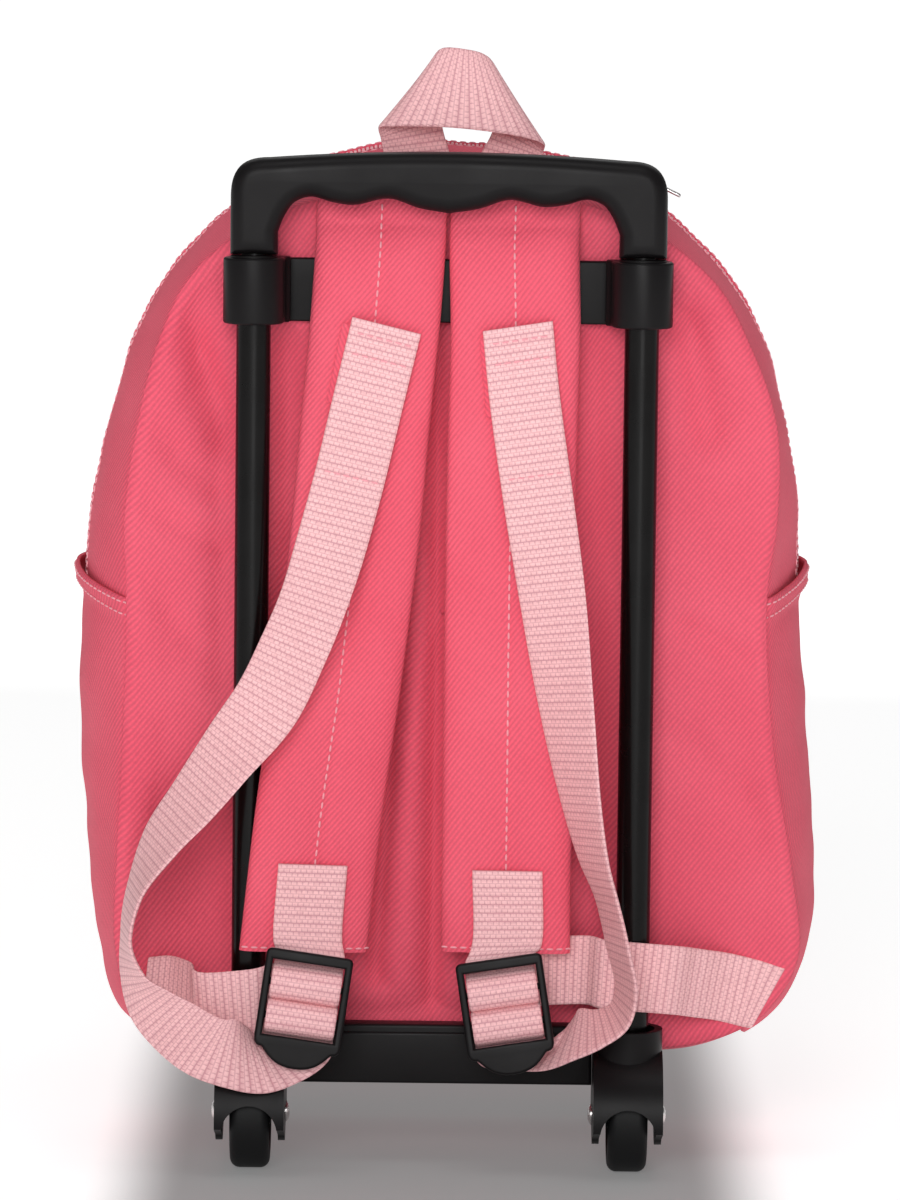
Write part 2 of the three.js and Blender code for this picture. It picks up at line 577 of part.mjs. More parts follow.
// The long webbing: from its sewn end on the strap down to the loop that enters the buckle from below.
const LONG_ROWS = {
  left: [
    { across: -0.16, up: 0.813, out: 1.01, tilt: -13.5, turn: 0 },
    { across: -0.203, up: 0.739, out: 1.13, tilt: -13.5, turn: 0 },
    { across: -0.265, up: 0.632, out: 1.52, tilt: -13.5, turn: -3 },
    { across: -0.341, up: 0.526, out: 2.0, tilt: -16, turn: 16 },
    { across: -0.396, up: 0.471, out: 2.2, tilt: -21, turn: 14 },
    { across: -0.462, up: 0.416, out: 2.4, tilt: -28, turn: 12 },
    { across: -0.568, up: 0.359, out: 2.45, tilt: -36, turn: 33 },
    { across: -0.656, up: 0.31, out: 2.4, tilt: -36.5, turn: 46 },
    { across: -0.737, up: 0.267, out: 2.25, tilt: -35, turn: 58 },
    { across: -0.803, up: 0.214, out: 2.05, tilt: -24, turn: 76 },
    { across: -0.828, up: 0.162, out: 1.9, tilt: -4, turn: 80 },
    { across: -0.81, up: 0.118, out: 1.85, tilt: 22, turn: 66 },
    { across: -0.762, up: 0.088, out: 2.0, tilt: 42, turn: 40 },
    { across: -0.695, up: 0.067, out: 2.3, tilt: 50, turn: 22 },
    { across: -0.62, up: 0.051, out: 2.75, tilt: 56, turn: 12 },
    { across: -0.55, up: 0.044, out: 2.86, tilt: 80, turn: 0 },
    { across: -0.485, up: 0.035, out: 2.55, tilt: 106, turn: -10 },
    { across: -0.43, up: 0.036, out: 2.25, tilt: 136, turn: -12 },
  ],
  right: [
    { across: 0.183, up: 0.814, out: 1.0, tilt: 9, turn: 0 },
    { across: 0.203, up: 0.739, out: 1.14, tilt: 9, turn: 0 },
    { across: 0.241, up: 0.635, out: 1.4, tilt: 9, turn: 6 },
    { across: 0.282, up: 0.529, out: 1.76, tilt: 9, turn: 20 },
    { across: 0.319, up: 0.422, out: 2.06, tilt: 8, turn: 38 },
    { across: 0.362, up: 0.316, out: 2.26, tilt: 10, turn: 56 },
    { across: 0.399, up: 0.251, out: 2.32, tilt: 13, turn: 66 },
    { across: 0.436, up: 0.208, out: 2.36, tilt: 14, turn: 72 },
    { across: 0.467, up: 0.157, out: 2.42, tilt: 8, turn: 72 },
    { across: 0.489, up: 0.114, out: 2.44, tilt: -4, turn: 74 },
    { across: 0.472, up: 0.086, out: 2.46, tilt: -40, turn: 74 },
    { across: 0.42, up: 0.072, out: 2.44, tilt: -78, turn: 68 },
    { across: 0.36, up: 0.062, out: 2.1, tilt: -104, turn: 50 },
    { across: 0.295, up: 0.046, out: 1.6, tilt: -132, turn: 8 },
  ],
};

// The anchor webbing: from the bag's lower corner past the trolley's leg to behind the buckle.
const ANCHOR_ROWS = {
  left: [
    { across: -0.785, up: 0.088, out: 0.085, tilt: 84, turn: 0 },
    { across: -0.73, up: 0.093, out: 0.5, tilt: 85, turn: 0 },
    { across: -0.665, up: 0.093, out: 1.35, tilt: 88, turn: 0 },
    { across: -0.6, up: 0.086, out: 1.92, tilt: 96, turn: 0 },
    { across: -0.5, up: 0.09, out: 1.96, tilt: 94, turn: 0 },
    { across: -0.42, up: 0.096, out: 1.66, tilt: 90, turn: 0 },
    { across: -0.34, up: 0.095, out: 1.6, tilt: 90, turn: 0 },
  ],
  right: [
    { across: 0.875, up: 0.088, out: 0.085, tilt: -118, turn: 0 },
    { across: 0.8, up: 0.096, out: 0.1, tilt: -102, turn: 0 },
    { across: 0.68, up: 0.109, out: 0.75, tilt: -99, turn: 0 },
    { across: 0.57, up: 0.119, out: 1.5, tilt: -97, turn: 0 },
    { across: 0.46, up: 0.122, out: 1.51, tilt: -94, turn: 0 },
    { across: 0.36, up: 0.123, out: 0.9, tilt: -92, turn: 0 },
    { across: 0.26, up: 0.12, out: 0.86, tilt: -90, turn: 0 },
    { across: 0.16, up: 0.11, out: 0.86, tilt: -88, turn: 0 },
  ],
};

// Where a buckle hangs: the middle of its top edge, how far it leans to a side, and how far its lower end
// is pushed out by the webbing behind it.
const BUCKLE_AT = {
  left: { across: -0.341, up: 0.147, out: 2.1, tilt: -8, pitch: 10 },
  right: { across: 0.152, up: 0.141, out: 1.76, tilt: 9, pitch: 9 },
};
const rotations = (at) => [-THREE.MathUtils.degToRad(at.pitch), -THREE.MathUtils.degToRad(at.tilt)];

// A point of a buckle: down from its top edge and out from its mid-plane, in millimetres.
function buckleSpot(name, down, out) {
  const [pitch, lean] = rotations(BUCKLE_AT[name]);
  return new THREE.Vector3(0, -out, -down)
    .applyAxisAngle(new THREE.Vector3(1, 0, 0), pitch)
    .applyAxisAngle(new THREE.Vector3(0, 1, 0), lean)
    .add(placeOf(BUCKLE_AT[name]));
}
const BAND_OFF = BUCKLE_BAR / 2 + SEAM_GAP + WEBBING_THICKNESS / 2; // webbing round a bar, from its axis
const BEHIND = BUCKLE_DEPTH / 2 + 1.5 * SEAM_GAP + WEBBING_THICKNESS / 2; // webbing behind the frame

// The webbing round one bar of a buckle: stops as shares of BAND_OFF from the bar, downwards and outwards.
const ROUND_BAR = [
  { down: -1.9, out: -0.75 },
  { down: -1.25, out: 0 },
  { down: -0.8, out: 0.75 },
  { down: 0, out: 1.1 },
  { down: 0.8, out: 0.75 },
  { down: 1.25, out: 0 },
];
const roundBar = (name, barAt) =>
  ROUND_BAR.map((stop) => buckleSpot(name, barAt + stop.down * BAND_OFF, stop.out * BAND_OFF));

// A band through a smooth line of spots that keeps one direction across from each given spot to the next.
function spotBand(spots, directions, steps) {
  const places = new THREE.CatmullRomCurve3(spots);
  const ways = new THREE.CatmullRomCurve3(directions);
  const spans = (spots.length - 1) * steps;
  const shares = Array.from({ length: spans + 1 }, (_, i) => i / spans);
  const centres = shares.map((t) => places.getPoint(t));
  return band(centres, shares.map((t) => ways.getPoint(t).normalize()), WEBBING, WEBBING_THICKNESS);
}
const TAB_ROWS = {
  left: [
    { across: -0.338, up: 0.24, out: 1.79, tilt: -3, turn: -11 },
    { across: -0.35, up: 0.16, out: 1.79, tilt: -4, turn: -11 },
  ],
  right: [
    { across: 0.174, up: 0.234, out: 1.54, tilt: 0, turn: 2 },
    { across: 0.174, up: 0.152, out: 1.5, tilt: 2, turn: 2 },
  ],
};

// The tab's sewn-back end behind itself: down as shares of FIRST_BAR_AT, and how far it lies behind the
// tab's front part as shares of WEBBING_THICKNESS.
const TAB_END = [
  { down: 0.83, behind: 0.92 },
  { down: 0.26, behind: 1.54 },
];
function addBuckleTab(name) {
  const rows = TAB_ROWS[name];
  const lean = acrossOf(BUCKLE_AT[name].tilt, 0);
  const sewnBack = TAB_END.map((row) =>
    buckleSpot(name, row.down * FIRST_BAR_AT, -BEHIND - row.behind * WEBBING_THICKNESS),
  );
  const spots = [
    ...rows.map(placeOf),
    buckleSpot(name, BUCKLE_TOP_BAR * 0.26, -BEHIND),
    buckleSpot(name, BUCKLE_TOP_BAR * 1.13, -BEHIND),
    ...roundBar(name, FIRST_BAR_AT).slice(1),
    buckleSpot(name, FIRST_BAR_AT + BAND_OFF, -BAND_OFF),
    ...sewnBack,
  ];
  const directions = spots.map((_, i) => (i < 2 ? acrossOf(rows[i].tilt, rows[i].turn) : lean));
  add(`buckle_tab_${name}`, spotBand(spots, directions, 2), PALE);
}
function addLongWebbing(name) {
  const rows = LONG_ROWS[name];
  const end = acrossOf(BUCKLE_AT[name].tilt, 0).negate();
  const spots = [
    ...rows.map(placeOf),
    buckleSpot(name, BUCKLE_PLATE_AT * 1.166, -BEHIND),
    buckleSpot(name, BUCKLE_PLATE_AT * 0.99, -BEHIND),
    ...roundBar(name, SECOND_BAR_AT).reverse(),
  ];
  const directions = spots.map((_, i) =>
    i < rows.length ? acrossOf(rows[i].tilt, rows[i].turn) : end,
  );
  add(`adjusting_webbing_${name}`, spotBand(spots, directions, 2), PALE);
}

// A ladder buckle: a frame with two bars across it and a rounded thumb plate at its lower end.
function buckle(name) {
  const half = BUCKLE_WIDTH / 2;
  const outline = new THREE.Shape();
  const corner = BUCKLE_RAIL;
  outline.moveTo(-half + corner, 0);
  outline.lineTo(half - corner, 0);
  outline.quadraticCurveTo(half, 0, half, -corner);
  outline.lineTo(half, -BUCKLE_PLATE_AT - corner);
  outline.quadraticCurveTo(half * 0.5, -BUCKLE_LENGTH, 0, -BUCKLE_LENGTH);
  outline.quadraticCurveTo(-half * 0.5, -BUCKLE_LENGTH, -half, -BUCKLE_PLATE_AT - corner);
  outline.lineTo(-half, -corner);
  outline.quadraticCurveTo(-half, 0, -half + corner, 0);
  const inner = half - BUCKLE_RAIL;
  const opening = new THREE.Path();
  opening.moveTo(-inner, -BUCKLE_TOP_BAR);
  opening.lineTo(-inner, -BUCKLE_PLATE_AT);
  opening.lineTo(inner, -BUCKLE_PLATE_AT);
  opening.lineTo(inner, -BUCKLE_TOP_BAR);
  outline.holes.push(opening);
  const frame = new THREE.ExtrudeGeometry(outline, {
    depth: BUCKLE_DEPTH,
    bevelEnabled: false,
    curveSegments: 5,
  });
  frame.translate(0, 0, -BUCKLE_DEPTH / 2).rotateX(Math.PI / 2);
  let whole = solid(frame);
  for (const at of [FIRST_BAR_AT, SECOND_BAR_AT])
    whole = whole.add(solid(rod(-inner - CUT, inner + CUT, 0, -at, BUCKLE_BAR / 2, 8)));
  const [pitch, lean] = rotations(BUCKLE_AT[name]);
  const spot = placeOf(BUCKLE_AT[name]);
  return geometryOf(whole).rotateX(pitch).rotateY(lean).translate(spot.x, spot.y, spot.z);
}

// The patches of bag cloth between the straps and the sewn ends of the long webbing.
const PATCH_ROWS = {
  left: [
    { across: -0.187, up: 0.806, out: 0.9, tilt: -13.5, turn: 0 },
    { across: -0.226, up: 0.722, out: 1.0, tilt: -13.5, turn: 0 },
  ],
  right: [
    { across: 0.176, up: 0.806, out: 0.91, tilt: 9, turn: 0 },
    { across: 0.194, up: 0.722, out: 1.05, tilt: 9, turn: 0 },
  ],
};
for (const name of ["left", "right"]) {
  add(`shoulder_strap_${name}`, shoulderStrap(STRAP_ROWS[name]), PINK);
  add(`strap_patch_${name}`, webbing(PATCH_ROWS[name], 2, WEBBING, PATCH_THICKNESS), PINK);
  add(`anchor_webbing_${name}`, webbing(ANCHOR_ROWS[name], 2), PALE);
  addLongWebbing(name);
  addBuckleTab(name);
  add(`buckle_${name}`, buckle(name), BLACK);
}

// The grab handle: one band whose legs are sewn into the top seam and whose front part folds over at
// both ends. Each row gives the band's lower and upper edge, across and up from the middle of the loop's
// foot as shares of GRAB_SPREAD and GRAB_RISE, and back as a share of BULGE_AT's depth.
const GRAB_AT = { across: 0.03, deep: 0.2 };
const GRAB_ROWS = [
  { lowX: -0.46, lowUp: -0.03, lowBack: -0.2, highX: -0.06, highUp: 0.01, highBack: 0.1 },
  { lowX: -0.49, lowUp: 0.18, lowBack: -0.25, highX: -0.12, highUp: 0.3, highBack: 0.3 },
  { lowX: -0.5, lowUp: 0.27, lowBack: -0.5, highX: -0.16, highUp: 0.84, highBack: 0.2 },
  { lowX: -0.4, lowUp: 0.29, lowBack: -0.85, highX: -0.13, highUp: 0.95, highBack: -0.1 },
  { lowX: 0, lowUp: 0.28, lowBack: -1, highX: 0.02, highUp: 0.95, highBack: -0.3 },
  { lowX: 0.4, lowUp: 0.2, lowBack: -0.8, highX: 0.14, highUp: 0.9, highBack: -0.1 },
  { lowX: 0.5, lowUp: 0.14, lowBack: -0.4, highX: 0.19, highUp: 0.78, highBack: 0.25 },
  { lowX: 0.5, lowUp: 0.08, lowBack: 0, highX: 0.2, highUp: 0.3, highBack: 0.4 },
  { lowX: 0.47, lowUp: -0.07, lowBack: 0.05, highX: 0.1, highUp: 0.0, highBack: 0.2 },
];
function grabHandle() {
  const footX = GRAB_AT.across * HALF_WIDTH;
  const footY = GRAB_AT.deep * BAG_DEPTH;
  const footZ = BAG_TOP - BACK_TUCK * 0.36;
  const reach = BAG_DEPTH * 0.11;
  const edge = (x, up, back) =>
    new THREE.Vector3(footX + x * GRAB_SPREAD, footY + back * reach, footZ + up * GRAB_RISE);
  const low = new THREE.CatmullRomCurve3(GRAB_ROWS.map((r) => edge(r.lowX, r.lowUp, r.lowBack)));
  const high = new THREE.CatmullRomCurve3(GRAB_ROWS.map((r) => edge(r.highX, r.highUp, r.highBack)));
  const spans = (GRAB_ROWS.length - 1) * 3;
  const shares = Array.from({ length: spans + 1 }, (_, i) => i / spans);
  const pairs = shares.map((t) => [low.getPoint(t), high.getPoint(t)]);
  const face = (side) =>
    pairs.map(([a, b], i) => {
      const [before] = pairs[Math.max(0, i - 1)];
      const [after] = pairs[Math.min(spans, i + 1)];
      const rise = b.clone().sub(a);
      const out = rise.cross(after.clone().sub(before)).setLength((side * WEBBING_THICKNESS) / 2);
      return [a, b].map((p) => p.clone().add(out).toArray());
    });
  return wall(face(-1), face(1));
}
add("grab_handle", grabHandle(), PALE);

// The zip's slider with its pull, parked behind the corner of the trolley's handle
const SLIDER_STATION = STATIONS / 2 - 2.75;
function zipSlider() {
  const station = stationAt(SLIDER_STATION);
  const lift = CLOTH + SEAM_GAP - ZIP_CHAIN + ZIP_TAPE;
  const at = (length, width, height, slide, rise) =>
    new THREE.BoxGeometry(height, width, length).translate(rise, 0, slide);
  let body = solid(at(SLIDER_LENGTH, SLIDER_WIDTH, SLIDER_HEIGHT, 0, SLIDER_HEIGHT / 2 + SEAM_GAP));
  const pullSlide = -(SLIDER_LENGTH + PULL_LENGTH) / 2 + PULL_OVERLAP;
  const pullRise = SLIDER_HEIGHT + SEAM_GAP - PULL_THICKNESS / 2;
  body = body.add(solid(at(PULL_LENGTH, PULL_WIDTH, PULL_THICKNESS, pullSlide, pullRise)));
  const [x, y, z] = gussetPoint(station, 0.5, -lift);
  const angle = Math.atan2(station.outZ, station.outX);
  return geometryOf(body).rotateY(-angle).translate(x, y, z);
}
add("zip_slider", zipSlider(), NICKEL);

// The trolley frame
const TROLLEY = -TUBE_OUT;
const legX = (side) => (side * TUBE_SPACING) / 2;
const RUNNING_FIT = 0.08; // radial clearance of what slides or turns
const ROUND = 20; // sides of the round parts
const roomy = (radius) => (radius + RUNNING_FIT) / Math.cos(Math.PI / ROUND);

function addTubes(side) {
  const name = sideName(side);
  const x = legX(side);
  const tube = (z0, z1, radius, bore) =>
    geometryOf(
      solid(column(x, TROLLEY, z0, z1, radius, ROUND)).subtract(
        solid(column(x, TROLLEY, z0 - CUT, z1 + CUT, bore, ROUND)),
      ),
    );
  const outerEnd = HOUSING_TOP - SOCKET_DEPTH + SEAM_GAP;
  const outerTop = COLLAR_TOP - COLLAR_LIP - SEAM_GAP;
  add(
    `outer_tube_${name}`,
    tube(outerEnd, outerTop, OUTER_TUBE / 2, OUTER_TUBE / 2 - OUTER_TUBE_WALL),
    STEEL,
  );
  const innerTop = SLEEVE_END + SLEEVE_BORE_DEPTH - SEAM_GAP;
  add(
    `inner_tube_${name}`,
    tube(INNER_TUBE_END, innerTop, INNER_TUBE / 2, INNER_TUBE / 2 - INNER_TUBE_WALL),
    STEEL,
  );
}

// The collar: a sleeve round the tube's top, flat behind, with a bracket that reaches towards the middle.
function collar(side) {
  const x = legX(side);
  const inwards = -side;
  const flatAt = BAR_FACE - SEAM_GAP;
  const sleeve = solid(column(x, TROLLEY, COLLAR_BOTTOM, COLLAR_TOP, COLLAR / 2, ROUND));
  const reach = [x, x + inwards * BRACKET_REACH].sort((a, b) => a - b);
  const bracket = block(...reach, flatAt - BRACKET_DEPTH, flatAt, COLLAR_BOTTOM, COLLAR_TOP);
  const behind = block(x - COLLAR, x + COLLAR, flatAt, flatAt + COLLAR, 0, BAG_TOP);
  const bore = column(
    x,
    TROLLEY,
    COLLAR_BOTTOM - CUT,
    COLLAR_TOP - COLLAR_LIP,
    OUTER_TUBE / 2 + SEAM_GAP,
    ROUND,
  );
  const lip = column(x, TROLLEY, COLLAR_BOTTOM, COLLAR_TOP + CUT, roomy(INNER_TUBE / 2), ROUND);
  return geometryOf(
    sleeve.add(solid(bracket)).subtract(solid(behind)).subtract(solid(bore)).subtract(solid(lip)),
  );
}

// The handle's outline from the front: outer rim and the underside with its finger grooves, as shares of
// the half spacing of the legs and of the grip's height over the legs' lower ends.
const GRIP_UNDER = [
  { across: 0.84, up: 0.39 },
  { across: 0.79, up: 0.51 },
  { across: 0.71, up: 0.56 },
  { across: 0.6, up: 0.51 },
  { across: 0.49, up: 0.485 },
  { across: 0.31, up: 0.55 },
  { across: 0.15, up: 0.46 },
  { across: 0, up: 0.415 },
];
function grip() {
  const half = TUBE_SPACING / 2 + HANDLE_SLEEVE / 2;
  const inner = TUBE_SPACING / 2 - HANDLE_SLEEVE / 2;
  const rise = HANDLE_TOP - SLEEVE_END;
  const z = (up) => SLEEVE_END + up * rise;
  const shoulder = z(0.93);
  const under = GRIP_UNDER.map((row) => [(row.across * TUBE_SPACING) / 2, z(row.up)]);
  const mirrored = [...under].reverse().slice(1).map(([x, up]) => [-x, up]);
  const outline = new THREE.Shape();
  outline.moveTo(inner, SLEEVE_END);
  outline.lineTo(half, SLEEVE_END);
  outline.lineTo(half, z(0.56));
  outline.bezierCurveTo(half, z(0.82), half * 0.95, shoulder, half * 0.82, shoulder);
  outline.quadraticCurveTo(half * 0.4, HANDLE_TOP, 0, HANDLE_TOP);
  outline.quadraticCurveTo(-half * 0.4, HANDLE_TOP, -half * 0.82, shoulder);
  outline.bezierCurveTo(-half * 0.95, shoulder, -half, z(0.82), -half, z(0.56));
  outline.lineTo(-half, SLEEVE_END);
  outline.lineTo(-inner, SLEEVE_END);
  outline.lineTo(-inner, z(0.25));
  outline.splineThru([...mirrored].reverse().map(([x, up]) => new THREE.Vector2(x, up)));
  outline.splineThru([...under].reverse().slice(1).map(([x, up]) => new THREE.Vector2(x, up)));
  outline.lineTo(inner, z(0.25));
  const round = HANDLE_SLEEVE * 0.3;
  const body = new THREE.ExtrudeGeometry(outline, {
    depth: HANDLE_SLEEVE - 2 * round,
    bevelEnabled: true,
    bevelThickness: round,
    bevelSize: round,
    bevelOffset: -round,
    bevelSegments: 2,
    curveSegments: 3,
  });
  body.rotateX(Math.PI / 2).translate(0, TROLLEY + HANDLE_SLEEVE / 2 - round, 0);
  let whole = solid(body);
  for (const side of [LEFT, RIGHT]) {
    const top = SLEEVE_END + SLEEVE_BORE_DEPTH;
    const bore = column(legX(side), TROLLEY, SLEEVE_END - CUT, top, INNER_TUBE / 2 + SEAM_GAP, ROUND);
    whole = whole.subtract(solid(bore));
  }
  return geometryOf(whole);
}

// The wheels on their axles, in housings that take the lower ends of the fixed tubes
const WHEEL_HEIGHT = WHEEL_RADIUS;
const SOCKET_DEPTH = 6.2;
const HOOD_SIDES = 24;
const PIN_SIDES = 12;
const wheelX = (side) => (side * WHEEL_SPACING) / 2;
function wheel(side) {
  const bore = roomy(AXLE / 2);
  const half = WHEEL_WIDTH / 2;
  const profile = [
    [bore, -half],
    [HUB / 2, -half],
    [HUB / 2, -half + HUB_RECESS],
    [WHEEL_RADIUS - TYRE_ROUND - TYRE_RIM, -half + HUB_RECESS],
    [WHEEL_RADIUS - TYRE_ROUND, -half],
    [WHEEL_RADIUS - TYRE_ROUND * 0.3, -half + TYRE_ROUND * 0.3],
    [WHEEL_RADIUS, -half + TYRE_ROUND],
  ];
  const mirrored = [...profile].reverse().map(([r, h]) => [r, -h]);
  const points = [...profile, ...mirrored, profile[0]].map(([r, h]) => new THREE.Vector2(r, h));
  const geometry = new THREE.LatheGeometry(points, ROUND);
  return geometry.rotateZ(Math.PI / 2).translate(wheelX(side), TROLLEY, WHEEL_HEIGHT);
}
function axle(side) {
  const half = HOUSING_WIDTH / 2 + SEAM_GAP;
  const head = half + AXLE_HEAD_THICKNESS;
  const points = [
    [0, -head],
    [AXLE_HEAD * 0.32, -head],
    [AXLE_HEAD / 2, -half],
    [AXLE / 2, -half],
    [AXLE / 2, half],
    [AXLE_HEAD / 2, half],
    [AXLE_HEAD * 0.32, head],
    [0, head],
  ].map(([r, h]) => new THREE.Vector2(r, h));
  const geometry = new THREE.LatheGeometry(points, ROUND);
  return geometry.rotateZ(Math.PI / 2).translate(wheelX(side), TROLLEY, WHEEL_HEIGHT);
}
function housing(side) {
  const x = wheelX(side);
  const half = HOUSING_WIDTH / 2;
  const room = half - FORK_WALL;
  const hood = solid(rod(x - half, x + half, TROLLEY, WHEEL_HEIGHT, HOOD_RADIUS, HOOD_SIDES));
  const belowArch = block(
    x - half - CUT,
    x + half + CUT,
    TROLLEY - HOOD_RADIUS,
    TROLLEY + HOOD_RADIUS,
    -HOOD_RADIUS,
    ARCH_TOP,
  );
  const cheeks = block(
    x - half,
    x + half,
    TROLLEY - FORK_END,
    TROLLEY + FORK_END,
    WHEEL_HEIGHT,
    ARCH_TOP + CUT,
  );
  const fork = solid(rod(x - half, x + half, TROLLEY, WHEEL_HEIGHT, FORK_END, ROUND)).add(solid(cheeks));
  const socket = solid(column(x, TROLLEY, ARCH_TOP, HOUSING_TOP, half, HOOD_SIDES));
  const wheelRoom = rod(
    x - room,
    x + room,
    TROLLEY,
    WHEEL_HEIGHT,
    HOOD_RADIUS - HOOD_WALL,
    HOOD_SIDES,
  );
  const bore = column(
    legX(side),
    TROLLEY,
    HOUSING_TOP - SOCKET_DEPTH,
    HOUSING_TOP + CUT,
    OUTER_TUBE / 2 + SEAM_GAP,
    ROUND,
  );
  const recessFloor = HOUSING_TOP - SOCKET_RECESS;
  const recess = column(x, TROLLEY, recessFloor, HOUSING_TOP + CUT, SOCKET_RECESS_WIDTH / 2, ROUND);
  const pinHole = AXLE / 2 + SEAM_GAP;
  const pin = rod(x - half - CUT, x + half + CUT, TROLLEY, WHEEL_HEIGHT, pinHole, PIN_SIDES);
  return geometryOf(
    hood
      .subtract(solid(belowArch))
      .add(fork)
      .add(socket)
      .subtract(solid(wheelRoom))
      .subtract(solid(bore))
      .subtract(solid(recess))
      .subtract(solid(pin)),
  );
}
for (const side of [LEFT, RIGHT]) {
  const name = sideName(side);
  addTubes(side);
  add(`collar_${name}`, collar(side), BLACK);
  add(`wheel_housing_${name}`, housing(side), BLACK);
  add(`wheel_${name}`, wheel(side), RUBBER);
  add(`axle_${name}`, axle(side), NICKEL);
}
add("handle_grip", grip(), BLACK);

// The two flat bars that hold the trolley's legs to the back panel
const upperReach = TUBE_SPACING / 2 + OUTER_TUBE / 2;
const upperTop = COLLAR_BOTTOM + UPPER_BAR_HEIGHT;
const upperBar = block(-upperReach, upperReach, BAR_FACE, BAR_BACK, COLLAR_BOTTOM, upperTop);
add("upper_crossbar", upperBar, BLACK);
const lowerReach = (WHEEL_SPACING - HOUSING_WIDTH) / 2 - SEAM_GAP;
const lowerTop = LOWER_BAR_BOTTOM + LOWER_BAR_HEIGHT;
const lowerFace = BAR_BACK - LOWER_BAR_THICKNESS;
const lowerBar = block(-lowerReach, lowerReach, lowerFace, BAR_BACK, LOWER_BAR_BOTTOM, lowerTop);
add("lower_crossbar", lowerBar, BLACK);

// The stand: two arms under the bag that end in feet, so that it rests level on them and the wheels.
function stand() {
  const inner = (FOOT_SPACING - STAND_ARM_WIDTH) / 2;
  const outer = inner + STAND_ARM_WIDTH;
  const underBag = Math.min(...stations.filter((s) => Math.abs(s.x) < outer).map((s) => s.z));
  const top = underBag - SEAM_GAP;
  const bottom = top - STAND_ARM_HEIGHT;
  const drop = bottom - WHEEL_HEIGHT;
  const from = TROLLEY + Math.sqrt(HOOD_RADIUS ** 2 - drop ** 2) + SEAM_GAP;
  const to = BAG_DEPTH * 0.96;
  let whole = solid(block(-outer, outer, to - FOOT_LENGTH, to, bottom, top));
  for (const side of [LEFT, RIGHT]) {
    const across = [side * inner, side * outer].sort((a, b) => a - b);
    whole = whole.add(solid(block(...across, from, to, bottom, top)));
    whole = whole.add(solid(block(...across, to - FOOT_LENGTH, to, 0, top)));
  }
  return geometryOf(whole);
}
add("front_stand", stand(), BLACK);

// The origin is under the middle of the depth.
const bounds = new THREE.Box3().setFromObject(bag);
bag.position.y = -(bounds.min.y + bounds.max.y) / 2;

export default bag;
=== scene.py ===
import math
import bmesh
import bpy
import numpy as np
from mathutils import Matrix, Vector, noise


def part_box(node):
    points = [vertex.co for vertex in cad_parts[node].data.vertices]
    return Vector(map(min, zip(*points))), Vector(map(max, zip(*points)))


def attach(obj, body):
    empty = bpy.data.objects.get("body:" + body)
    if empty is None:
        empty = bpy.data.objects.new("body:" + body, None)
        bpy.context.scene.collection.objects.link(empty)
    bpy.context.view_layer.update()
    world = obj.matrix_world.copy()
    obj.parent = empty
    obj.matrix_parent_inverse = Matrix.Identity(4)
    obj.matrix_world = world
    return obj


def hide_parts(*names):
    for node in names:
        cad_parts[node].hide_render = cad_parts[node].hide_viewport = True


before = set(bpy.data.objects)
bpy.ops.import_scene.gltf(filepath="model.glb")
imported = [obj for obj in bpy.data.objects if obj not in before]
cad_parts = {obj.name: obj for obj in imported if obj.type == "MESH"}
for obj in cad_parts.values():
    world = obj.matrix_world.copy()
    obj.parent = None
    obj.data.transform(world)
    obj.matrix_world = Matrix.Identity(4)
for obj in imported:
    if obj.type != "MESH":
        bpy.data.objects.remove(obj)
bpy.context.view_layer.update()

# The camera. It stands 2.3 m from the worn side of the bag and looks a little down on it, as for a
# catalogue picture. The bag leans by less than a degree in the picture.
MM = 0.001
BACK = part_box("back_panel")[0].y / MM  # the plane of the back panel
IMAGE_HEIGHT = 1200
DISTANCE = 2300
ELEVATION = math.radians(7)
ROLL = math.radians(0.68)
FOCAL_PIXELS = 6532
SENSOR = 36
SHIFT_RIGHT, SHIFT_UP = 5.4, 2.0  # pixels
AIM_HEIGHT = 200  # height that the camera looks at


def place(x, y, z):
    """A point in metres from millimetres, with y counted from the back panel."""
    return Vector((x, y + BACK, z)) * MM


towards = Vector((0, -math.cos(ELEVATION), math.sin(ELEVATION)))
level = Vector((1, 0, 0))
upright = towards.cross(level)
camera_x = level * math.cos(ROLL) + upright * math.sin(ROLL)
camera_y = upright * math.cos(ROLL) - level * math.sin(ROLL)
lens = bpy.data.cameras.new("camera")
lens.sensor_width = SENSOR
lens.lens = SENSOR * FOCAL_PIXELS / IMAGE_HEIGHT
lens.shift_x = SHIFT_RIGHT / IMAGE_HEIGHT
lens.shift_y = SHIFT_UP / IMAGE_HEIGHT
camera = bpy.data.objects.new("camera", lens)
bpy.context.scene.collection.objects.link(camera)
turn = Matrix((camera_x, camera_y, towards)).transposed().to_4x4()
camera.matrix_world = Matrix.Translation(place(0, 0, AIM_HEIGHT) + towards * DISTANCE * MM) @ turn
bpy.context.scene.camera = camera
bpy.context.scene.view_settings.view_transform = "Standard"


# The studio. The bag stands on flat white paper that runs on until it fills the picture. Two large soft
# boxes light it from the front, and weaker ones from above and behind draw the gloss on the tubes.
def linear(code):
    """The linear colour of an sRGB hex code."""
    parts = [int(code[i : i + 2], 16) / 255 for i in (1, 3, 5)]
    return tuple(c / 12.92 if c < 0.04045 else ((c + 0.055) / 1.055) ** 2.4 for c in parts) + (1,)


def add(tree, kind, inputs=None, **settings):
    """A node of that kind, with its settings, and its inputs linked or set."""
    node = tree.nodes.new("ShaderNode" + kind)
    for key, value in settings.items():
        setattr(node, key, value)
    for key, value in (inputs or {}).items():
        if isinstance(value, bpy.types.NodeSocket):
            tree.links.new(value, node.inputs[key])
        else:
            node.inputs[key].default_value = value
    return node


